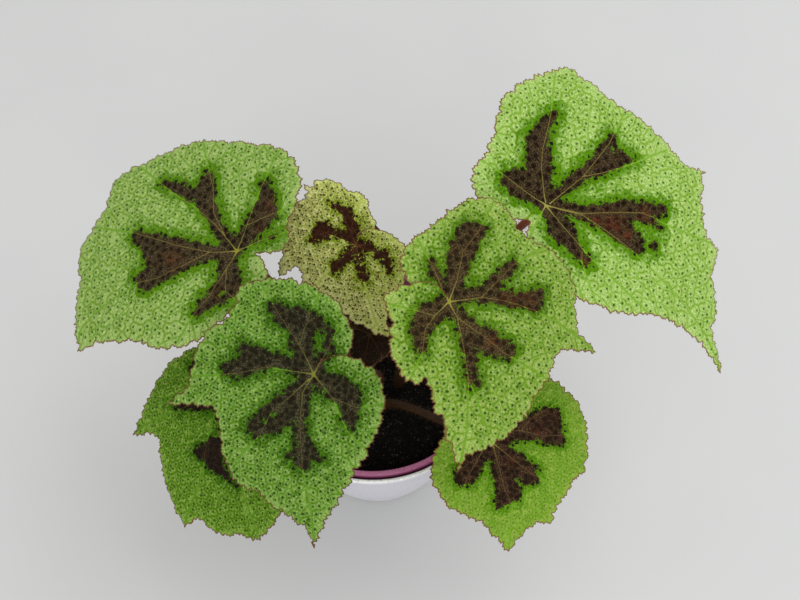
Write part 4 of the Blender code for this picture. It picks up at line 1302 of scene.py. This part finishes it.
LEAVES = (
    Leaf("a", (-64, 22, 184), -156, 215, 18, 85, 6, 7, 4, 1.6,
         ((0, 89), (4, 78), (9, 71), (14, 64), (21, 61), (31, 55), (40, 50), (50, 43), (61, 34),
          (76, 28), (96, 25), (110, 24), (121, 19), (130, 15.5), (136, 11.5), (140, 10), (144, 20),
          (149, 26), (158, 28), (172, 28), (180, 31), (188, 37), (195, 43), (203, 48), (212, 52),
          (222, 55), (238, 56), (254, 60), (266, 66), (278, 71), (289, 78), (299, 85), (306, 83),
          (312, 80), (320, 85), (328, 90), (337, 89), (344, 91), (356, 93)),
         ((0.3, 7, 1.2, 0),), (0, 33, 95, 167, 221, 263, 292, 319, 349),
         (-15, 6), (-0.28, 0.08), (42, 48), 2.5, Age.FULL, 4.3,
         arms=(((0, 0, 3), (6, 3, 4), (8, 9, 5.4), (10, 15, 7), (15, 18, 5.5), (21, 18, 4.4), (28, 20, 2.5)),
               ((0, 0, 3), (6, -3, 3), (18, -7, 4.5), (32, -9, 6), (46, -8, 5)),
               ((32, -9, 5), (49, -13, 3)), ((30, -14, 5), (38, -18, 5.5)),
               ((6, -3, 3), (15, -8, 4), (28, -17, 6), (36, -24, 6), (42, -34, 3.5)),
               ((0, 0, 3), (1, -3, 4), (3, -14, 3), (3, -26, 4.5), (2, -35, 6), (-4, -43, 3)),
               ((2, -35, 5), (7, -37, 3.2), (13, -46, 2.8), (20, -55, 1.5)),
               ((0, 0, 3), (-3, -3, 4), (-12, -6, 5), (-21, -9, 7), (-25, -14, 4), (-27, -22, 3)),
               ((0, 0, 2), (-4, 0, 1), (-12, 2, 1), (-22, 5.5, 1))),
         veins=(((0, 0), (12, -6), (25, -6), (40, -7), (50, -11), (75, -12), (88, -9), (95, -1)),
                ((12, -6), (25, -17), (42, -36), (64, -56)),
                ((0, 0), (4, -18), (10, -33), (17, -46), (28, -72)),
                ((2, -10), (2, -23), (-3, -35), (-8, -66)),
                ((0, 0), (-10, -9), (-25, -22), (-40, -36)), ((-10, -9), (-27, -5), (-36, -4)),
                ((0, 0), (8, 6), (12, 18), (8, 27)), ((8, 6), (20, 16), (32, 21), (43, 28)),
                ((0, 0), (-12, 2), (-22, 5.5), (-29, 7))),
         islands=((14, 18, 1.4),), blushes=((-15, -2, 3), (-24, -10, 4), (15, 17, 3), (30, -12, 6))),
    Leaf("b", (-8, 36, 168), -67, -80, 28, 45, 4, 6, 4, 1.2,
         ((0, 44), (4, 37), (14, 32), (34, 30), (52, 27), (68, 24), (80, 20.5), (92, 16.5),
          (107, 13), (122, 15), (138, 18), (149, 24), (160, 27), (169, 27), (174, 32), (185, 36),
          (192, 38), (200, 36), (208, 35), (220, 37), (236, 36), (250, 36), (258, 37),
          (262, 38), (265, 37.5), (267.5, 34), (270, 30.5), (274, 30.5), (281, 31), (300, 31),
          (312, 29), (325, 32), (335, 37), (346, 41), (355, 46)),
         ((0, 6, 2, 0), (200.5, 5, 1.2, 0), (266.5, 6, 2, 6)), (31, 80, 150, 189, 231, 296, 349),
         (-4, 18), (0.0, 0.20), (30, 28), 1.8, Age.YOUNG, 2.7,
         arms=(((0, 0, 2), (1, 3, 2.5), (4, 6, 2), (9, 10, 2.5), (14, 12, 2), (19, 11, 1)),
               ((0, 0, 2), (4, -1, 2.5), (10, -2, 2), (16, -2, 2.5), (19, -4, 1.5)),
               ((0, 0, 2), (3, -4, 2.5), (5, -9, 2.5), (7, -14, 3)),
               ((0, 0, 2), (-6, -3, 1.5), (-9, -8, 2), (-12, -13, 4.5), (-10, -19, 2)),
               ((0, 0, 2), (-3, 0, 2.5), (-10, 1, 3.5), (-16, 1, 3), (-22, -3, 1.5), (-25, -5, 1))),
         veins=(((0, 0), (20, -3), (40, -4), (50, 0)), ((0, 0), (8, 9), (27, 17)),
                ((0, 0), (3, 10), (4, 24)), ((0, 0), (-8, 0), (-22, 11)), ((0, 0), (-14, -1), (-35, -6)),
                ((0, 0), (-8, -9), (-22, -27)), ((0, 0), (5, -12), (13, -28))),
         seam=((-4.0, 12.2), (-5.6, 9.4), (-5.9, 6.8), (-5.1, 3.9), (-3.1, 1.2)), bristle=1.5),
    Leaf("c", (35, -22, 212), -9, -55, 24, 62, 5, 7, 4, 1.3,
         ((0, 68), (2, 67), (5, 64), (10, 62), (24, 61), (33, 58), (46, 52), (56, 47), (64, 48),
          (74, 51), (84, 50), (92, 47), (103, 40), (120, 33), (144, 30), (159, 27), (169, 22),
          (175, 19), (182, 23), (193, 29), (203, 29), (214, 27), (224, 31), (236, 35), (255, 39),
          (261, 39), (266, 35), (270, 38), (275, 46), (281, 51), (283, 58.5), (285.8, 61),
          (286.8, 64), (288, 65), (291, 65), (296, 64.3), (305, 63.5),
          (318, 60), (330, 56), (344, 55), (351, 54), (356, 59)),
         ((0, 8, 1.6, 0), (288, 7.5, 1.6, -0.5), (321, 2.5, 0.8, 0)), (20, 43, 79, 135, 197, 257, 297, 338),
         (13, -3), (0.10, -0.05), (60, 44), 2.3, Age.RIPE, 3.9,
         arms=(((0, 0, 3), (0, 2, 3), (0, 12, 4.5), (-1, 22, 5.5), (1, 30, 5.5), (6, 35, 2.5)),
               ((0, 0, 2), (-3, 5, 2), (-9, 10, 2.5), (-13, 14, 1.5)),
               ((0, 0, 3), (4, 4, 3), (12, 6, 3), (15, 10, 3), (20, 18, 3), (24, 24, 2)),
               ((12, 6, 3), (18, 7, 3), (28, 9, 3.5), (37, 11, 4), (39, 16, 2)),
               ((0, 0, 3), (5, -5, 3), (10, -9, 4), (20, -13, 5.5), (30, -14, 4)),
               ((5, -5, 3), (8, -9, 3), (12, -18, 3), (15, -25, 2.5), (16, -34, 1)),
               ((14, -27, 1.5), (20, -31, 1.5)),
               ((0, 0, 3), (-3, -4, 4), (-9, -10, 5.5), (-10, -17, 4), (-8, -24, 2.5))),
         veins=(((0, 0), (13, 5.5), (25, 7), (40, 7), (55, 5), (74, 0.5)), ((13, 5.5), (24, 24), (38, 38)),
                ((0, 0), (1, 10), (0, 22), (5, 34), (9, 49)), ((0, 0), (-9, 10), (-14, 15), (-21, 22)),
                ((0, 0), (5, -6), (15, -10), (27, -15), (50, -20)),
                ((5, -6), (10, -18), (15, -30), (20, -50), (22, -68)),
                ((15, -30), (30, -50)), ((0, 0), (-5, -8), (-8, -15), (-7, -25), (-9, -38)),
                ((-5, -8), (-26, -9))),
         seam=((-1.5, 1.9), (-3.6, 3.9), (-7.1, 5.0), (-11.2, 5.2), (-15.6, 3.9), (-18.8, 2.0)),
         islands=((27, 13.5, 2.2),), blushes=((34, 10, 4), (26, 8, 4), (22, -12, 3))),
    Leaf("d", (-24, -45, 188), -91, -105, 28, 68, 5, 7, 5, 1.4,
         ((0, 70), (4, 66), (8, 60), (14, 54), (20, 49), (27, 45), (40, 40), (54, 37), (70, 34),
          (84, 31), (96, 27), (107, 22), (118, 18), (126, 21), (133, 24), (149, 29), (168, 35),
          (189, 41), (207, 47), (222, 51), (232, 46), (242, 47), (250, 52), (264, 55), (275, 57),
          (281, 61), (285, 54), (289, 47), (298, 47), (309, 53), (318, 57), (326, 60), (333, 58),
          (343, 61), (350, 64), (356, 67)),
         ((359.5, 9, 1.3, 0), (282.3, 10, 1.6, 0)), (0, 38, 73, 155, 174, 212, 268, 317),
         (-9, -13), (-0.08, -0.12), (46, 42), 2.4, Age.DEEP_SHADE, 3.3,
         arms=(((0, 0, 3), (3, 4, 3.5), (6, 11, 5.5), (9, 17, 4.5), (17, 17, 3.5), (22, 17, 2)),
               ((0, 0, 3), (5, -3, 3), (15, -5, 3), (25, -5, 2.5), (33, -3, 4), (38, -4, 4)),
               ((33, -3, 2), (37, 5, 1)), ((33, -4, 2), (36, -10, 1)),
               ((0, 0, 3), (7, -6, 4), (15, -12, 6), (20, -18, 6), (24, -24, 4.5)),
               ((0, 0, 3), (-2, -4, 3.5), (-5, -15, 3), (-6, -25, 5.5), (-11, -31, 2.5)),
               ((-6, -25, 4), (-2, -33, 4), (-2, -38, 3)),
               ((0, 0, 3), (-5, -3, 4), (-14, -5, 5), (-23, -6, 6), (-25, -13, 4), (-29, -18, 2.5)),
               ((0, 0, 2), (-4, 2, 2.5), (-11, 7, 2), (-18, 7, 1.8), (-22, 3, 2.5), (-24, 0, 3))),
         veins=(((0, 0), (8, -4.5), (20, -5), (40, -4), (60, -1), (78, 0)),
                ((0, 0), (10, 9), (14, 20), (12, 33)), ((10, 9), (24, 16), (35, 27)),
                ((2, -2), (9, -9), (17, -18), (27, -23), (40, -36)),
                ((0, 0), (-2, -15), (-3, -20), (0, -33), (2, -55)),
                ((0, 0), (-13, -6), (-30, -18), (-41, -25)), ((-13, -6), (-25, -2), (-39, 4)),
                ((0, 0), (-12, 7), (-24, 13))),
         seam=((-8.6, 16.0), (-8.9, 12.8), (-8.1, 8.2), (-6.1, 3.5), (-4.3, 1.2), (-2.4, 0.2)),
         islands=((-16, 3, 3.2), (18, -17, 1.2), (20, -21, 1.2)), bristle=1.6),
    Leaf("e", (-77, -21, 122), -111, 215, 24, 62, 4, 9, 4, 1.4,
         ((0, 69), (4, 68), (8, 67), (14, 72), (24, 73), (34, 77), (42, 73), (49, 70), (70, 58),
          (95, 46), (125, 36), (160, 28), (185, 14), (205, 24), (238, 27), (252, 30), (266, 35),
          (280, 39), (292, 43), (303, 49), (309, 53), (314, 52), (318, 46), (325, 45), (333, 50),
          (343, 57), (352, 64)),
         ((0.5, 5, 1.8, 0), (312, 7, 1.8, 0)), (0, 32, 72, 125, 222, 268, 310),
         (-18, -5), (-0.28, -0.08), (32, 14), 2.2, Age.SHADED, 3.5,
         arms=(((0, 0, 3), (12, 6, 3), (20, 12, 3), (28, 13, 4), (30, 8, 5), (34, 3, 3.5), (35, 0, 2)),
               ((30, 9, 5), (36, 10, 4.5), (38.5, 15, 2.5), (40.5, 20, 1.3), (43.5, 26, 0.7)),
               ((0, 0, 3), (11, 0, 2), (13, -8, 2.2), (17, -20, 1.6)),
               ((0, 0, 3), (6, 14, 4), (12, 26, 5), (12, 36, 2.5)),
               ((0, 0, 3), (-7, 8, 4), (-10, 18, 5), (-14, 22, 2)),
               ((0, 0, 3), (-3, -6, 3.5), (-6, -15, 4), (-4, -20, 2))),
         veins=(((0, 0), (20, 3), (45, 6), (70, 1)), ((0, 0), (22, 10), (40, 26), (62, 42)),
                ((0, 0), (8, 18), (18, 54)), ((0, 0), (-6, 10), (-20, 29)), ((0, 0), (-8, -8), (-18, -16)),
                ((0, 0), (1, -16), (-1, -36)), ((0, 0), (12, -10), (35, -41))),
         bristle=1.4),
    Leaf("f", (60, -51, 122), -80, -60, 20, 55, 4, 8, 4, 1.3,
         ((0, 50), (6, 48), (13, 46), (20, 45), (28, 48), (36, 46), (46, 45), (57, 46), (66, 50),
          (80, 51), (96, 51), (112, 49), (127, 46), (150, 42), (175, 36), (200, 26), (222, 14),
          (240, 24), (256, 26), (268, 29), (280, 33), (294, 36), (312, 38), (334, 38), (344, 40),
          (354, 47)),
         ((0, 4, 2, 0), (28, 2, 2, 0)), (2, 48, 90, 130, 180, 279, 322),
         (4, -17), (0.40, -0.12), (20, 14), 2.2, Age.SIDE, 3.4,
         arms=(((0, 0, 4), (-3, 6, 4), (-4, 18, 5.5), (-8, 28, 5), (-9, 34, 3.5)),
               ((-4, 18, 5), (0, 28, 5), (3, 34, 4)), ((-4, 26, 4), (-3, 33.5, 3.5)),
               ((0, 0, 4), (4, 4, 4), (12, 9, 5), (18, 15, 5.5)),
               ((0, 0, 4), (6, 1, 4), (16, 2, 5.5), (25, 3, 6), (29, -2, 3)),
               ((0, 0, 4), (3, -5, 4), (8, -12, 5), (13, -17, 6)),
               ((0, 0, 3), (-8, -3, 4), (-16, -6, 4), (-20, -9, 2)),
               ((0, 0, 3), (-9, 5, 4), (-20, 8, 5), (-26, 12, 2))),
         veins=(((0, 0), (22, 1), (32, 4), (52, 0)), ((0, 0), (13, 11), (18, 16), (29, 32)),
                ((0, 0), (-4, 10), (-3.5, 15), (-8, 20), (-16, 42)), ((-3.5, 15), (1, 25), (3, 48)),
                ((0, 0), (-14, 8), (-36, 18)), ((0, 0), (-12, -4), (-24, -8)),
                ((0, 0), (2, -5), (6, -30)), ((2, -5), (13, -15), (27, -25))),
         blushes=((10, 7, 3), (-2, 24, 3)), bristle=1.3),
    Leaf("g", (82, 34, 205), -35, -50, 22, 92, 7, 8, 5, 1.8,
         ((0, 85), (2.5, 92), (5, 101), (10, 102), (16, 99), (22, 92), (29, 91), (33, 84), (42, 81),
          (50, 84), (56, 81), (60, 77), (66, 75), (76, 70), (86, 67), (91, 65), (96, 64),
          (103, 66), (110, 68), (117, 72), (125, 67), (140, 59), (151, 54), (160, 47), (170, 40),
          (188, 37), (200, 39), (213, 37), (226, 30), (238, 23), (246, 19), (252, 15.5), (258, 13.5),
          (264, 12.5), (269, 14), (272, 17), (276, 24), (281, 31), (287, 37), (300, 42), (322, 46),
          (332, 51), (342, 60), (350, 67), (356, 74)),
         ((3.8, 22, 1.6, -3.8), (29.5, 3, 1.5, 0), (54, 7, 1.3, 0)), (13, 35, 65, 87, 123, 189, 280, 345),
         (14, 9), (0.26, 0.10), (50, 52), 2.5, Age.BRIGHT, 4.5,
         arms=(((0, 0, 3), (0, 2, 3), (3, 18, 3), (7, 30, 5), (9, 38, 6.5), (4, 48, 2)),
               ((9, 38, 5), (19, 47, 1.5)),
               ((0, 0, 3), (-12, 9, 7), (-22, 20, 6), (-24, 30, 3.5), (-24, 39, 1.5)),
               ((0, 0, 3), (-5, 1, 5), (-16, -2, 7), (-21, -5, 4)),
               ((0, 0, 3), (16, 9, 3), (30, 22, 5), (45, 36, 3)), ((34, 24, 4), (49, 29, 1.2)),
               ((0, 0, 3), (16, 8, 3), (32, 13, 6), (45, 13, 4.5)), ((52, 19, 2), (52.2, 19, 2)),
               ((0, 0, 3), (4, -1, 4), (13, -6, 6.5), (22, -9, 4), (30, -11, 2.5))),
         veins=(((0, 0), (16, 7), (44, 9.5), (80, 10), (100, 8), (119, 1)),
                ((0, 0), (16, 8), (27, 18), (38, 28), (55, 34), (78, 46)),
                ((1, 2), (3, 12), (5, 22), (12, 31), (20, 45), (30, 66)),
                ((5, 22), (5, 44), (2, 63)),
                ((-1, 1), (-13, 12), (-18, 19), (-25, 35), (-37, 58)),
                ((0, 0), (-5, -1), (-22, -4), (-38, -7)),
                ((0, 0), (15, -4), (30, -8), (60, -9), (84, -8)), ((26, -8), (29, -13), (46, -24)),
                ((0, 0), (2, -14), (5, -31))),
         islands=((8, 43, 1.2), (44, 22, 2)),
         blushes=((40, 28, 4), (30, 12, 6), (24, 9, 5), (30, -11, 3), (38, 13, 3)), bristle=1.8),
    Leaf("h", (-2, 8, 126), -105, -80, 38, 22, 3, 3, 3, 0.6,
         ((0, 19), (30, 16), (60, 14), (95, 13), (140, 11), (178, 6), (218, 11), (262, 13),
          (305, 14), (335, 16)),
         ((0, 3, 4, 0),), (0, 45, 100, 255, 310),
         (5, 15), (-0.02, -0.05), (12, 12), 1.6, Age.NEW, 1.5,
         arms=(((0, 0, 3), (7, 1, 3), (13, 0, 2)), ((0, 0, 3), (5, 6, 3)), ((0, 0, 3), (5, -6, 3)),
               ((0, 0, 2), (-5, 5, 2)), ((0, 0, 2), (-5, -4, 2))),
         veins=(((0, 0), (20, 0)), ((0, 0), (11, 10)), ((0, 0), (-2, 12)), ((0, 0), (-3, -12)),
                ((0, 0), (9, -11))),
         bristle=2.4),
)


class Studio:
    """Pale floor, soft light and the camera above the plant."""

    def floor(self) -> None:
        """Lay a wide pale floor under the pot."""
        material, node, shader = new_material("pale paper floor")
        tooth = node("TexNoise", node("TexCoord", out=3), Scale=9.0, Detail=2.0)
        tint = node("Mix", tooth, colour("C5C6C6"), colour("CCCDCC"), data_type="RGBA")
        fill(shader, {"Base Color": tint, "Roughness": 0.9, "Specular IOR Level": 0.1})
        half = 3000.0
        corners = np.array([(-half, -half, 0.0), (half, -half, 0.0), (half, half, 0.0), (-half, half, 0.0)])
        sheet = make_object("floor", corners, [np.array([[0, 1, 2, 3]])], material)

    def lights(self) -> None:
        """Soft daylight from everywhere, with a broad lamp overhead."""
        world = bpy.data.worlds.new("soft daylight")
        world.use_nodes = True
        world.node_tree.nodes["Background"].inputs["Color"].default_value = (1.0, 1.0, 0.99, 1.0)
        world.node_tree.nodes["Background"].inputs["Strength"].default_value = 0.8
        bpy.context.scene.world = world
        for name, place, size, power in (("lamp_window", (0.7, 0.35, 1.3), 1.4, 8.0),
                                         ("lamp_front", (-0.25, -1.2, 0.9), 1.4, 7.0)):
            lamp = bpy.data.lights.new(name, "AREA")
            lamp.shape, lamp.size, lamp.energy = "DISK", size, power
            thing = bpy.data.objects.new(name, lamp)
            thing.location = place
            aim = Vector((0.0, 0.0, 0.15)) - Vector(place)
            thing.rotation_euler = aim.to_track_quat("-Z", "Y").to_euler()
            bpy.context.scene.collection.objects.link(thing)

    def camera(self) -> None:
        """Look down on the plant from the front at sixty degrees."""
        lens = bpy.data.cameras.new("camera")
        lens.lens, lens.sensor_width = 42.75, 36.0
        lens.clip_start, lens.clip_end = 0.01, 20.0
        camera = bpy.data.objects.new("camera", lens)
        camera.location = (0.014, -0.226, 0.567)
        camera.rotation_euler = (math.radians(30.0), 0.0, 0.0)
        bpy.context.scene.collection.objects.link(camera)
        bpy.context.scene.camera = camera
        bpy.context.scene.view_settings.view_transform = "Standard"


def main() -> None:
    """Build the pots, the soil, the plant and the studio, in that order."""
    logging.basicConfig(level=logging.INFO, format="%(message)s")
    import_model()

    studio = Studio()
    studio.camera()
    studio.lights()
    studio.floor()

    # cover pot, cool white with a soft gloss, and a painted highlight along the top of the rim
    glossy = PlasticFinish("D4D2DC", "CECCD6", "F6F6F0", 0.32, 103.2).material("glossy white pot plastic")
    # grower's pot, mauve and duller, with a painted highlight along the top of the lip
    mauve = PlasticFinish("B05686", "9C4674", "C27A9E", 0.45, 102.1).material("mauve pot plastic")
    # wet peat, nearly black, with brown grains
    peat = PeatFinish("070706", "12100D", "28241C").material("damp peat")
    crumb = PeatFinish("090807", "1A1813", "4A4438", 700.0).material("peat crumb")
    chip = PeatFinish("1A1813", "3C382F", "5C5648", 500.0).material("weathered bark chip")
    grit = PeatFinish("5C584E", "7E7A6C", "9A9686", 900.0, 0.8).material("pale grit")
    # fleshy stalk, dark brown with pale flecks and redder under the blade; the base and streak tints are
    # darkened as painted shade for stalks under the leaves
    fleshy = StalkFinish("30200F", "3E2A16", "A85236", "4A3824").material("red-brown stalk skin")
    woody = StalkFinish("3E261C", "4E3024", "4A3022", "6A5444").material("knobbly rhizome skin")
    stalk_hair = FibreFinish("4A3018", "5E4428").material("brown stalk hair")
    rhizome_hair = FibreFinish("5C4430", "8A7058").material("pale rhizome hair")
    leaf_hair = FibreFinish("444020", "5E5030").material("dark leaf bristle")
    new_hair = FibreFinish("584434", "806A56").material("brown leaf down")

    OuterPot().build(glossy)
    grower = NurseryPot()
    grower.build(mauve)
    scattered_grains = Carpet("scattered grains", True, True)
    scattered_hairs = Carpet("scattered hairs", True, False)
    standing_hairs = Carpet("standing hairs", False, False)
    Soil().build(grower, peat, scattered_grains, crumb, chip, grit)
    Rhizome().build(woody, scattered_hairs, rhizome_hair)
    skins = {age: age.value.material(f"{age.name.lower()} leaf skin") for age in Age}
    for leaf in LEAVES:
        leaf.stalk(fleshy, scattered_hairs, stalk_hair)
        leaf.blade(skins[leaf.age], standing_hairs, new_hair if leaf.age is Age.NEW else leaf_hair)


if __name__ == "__main__":
    main()
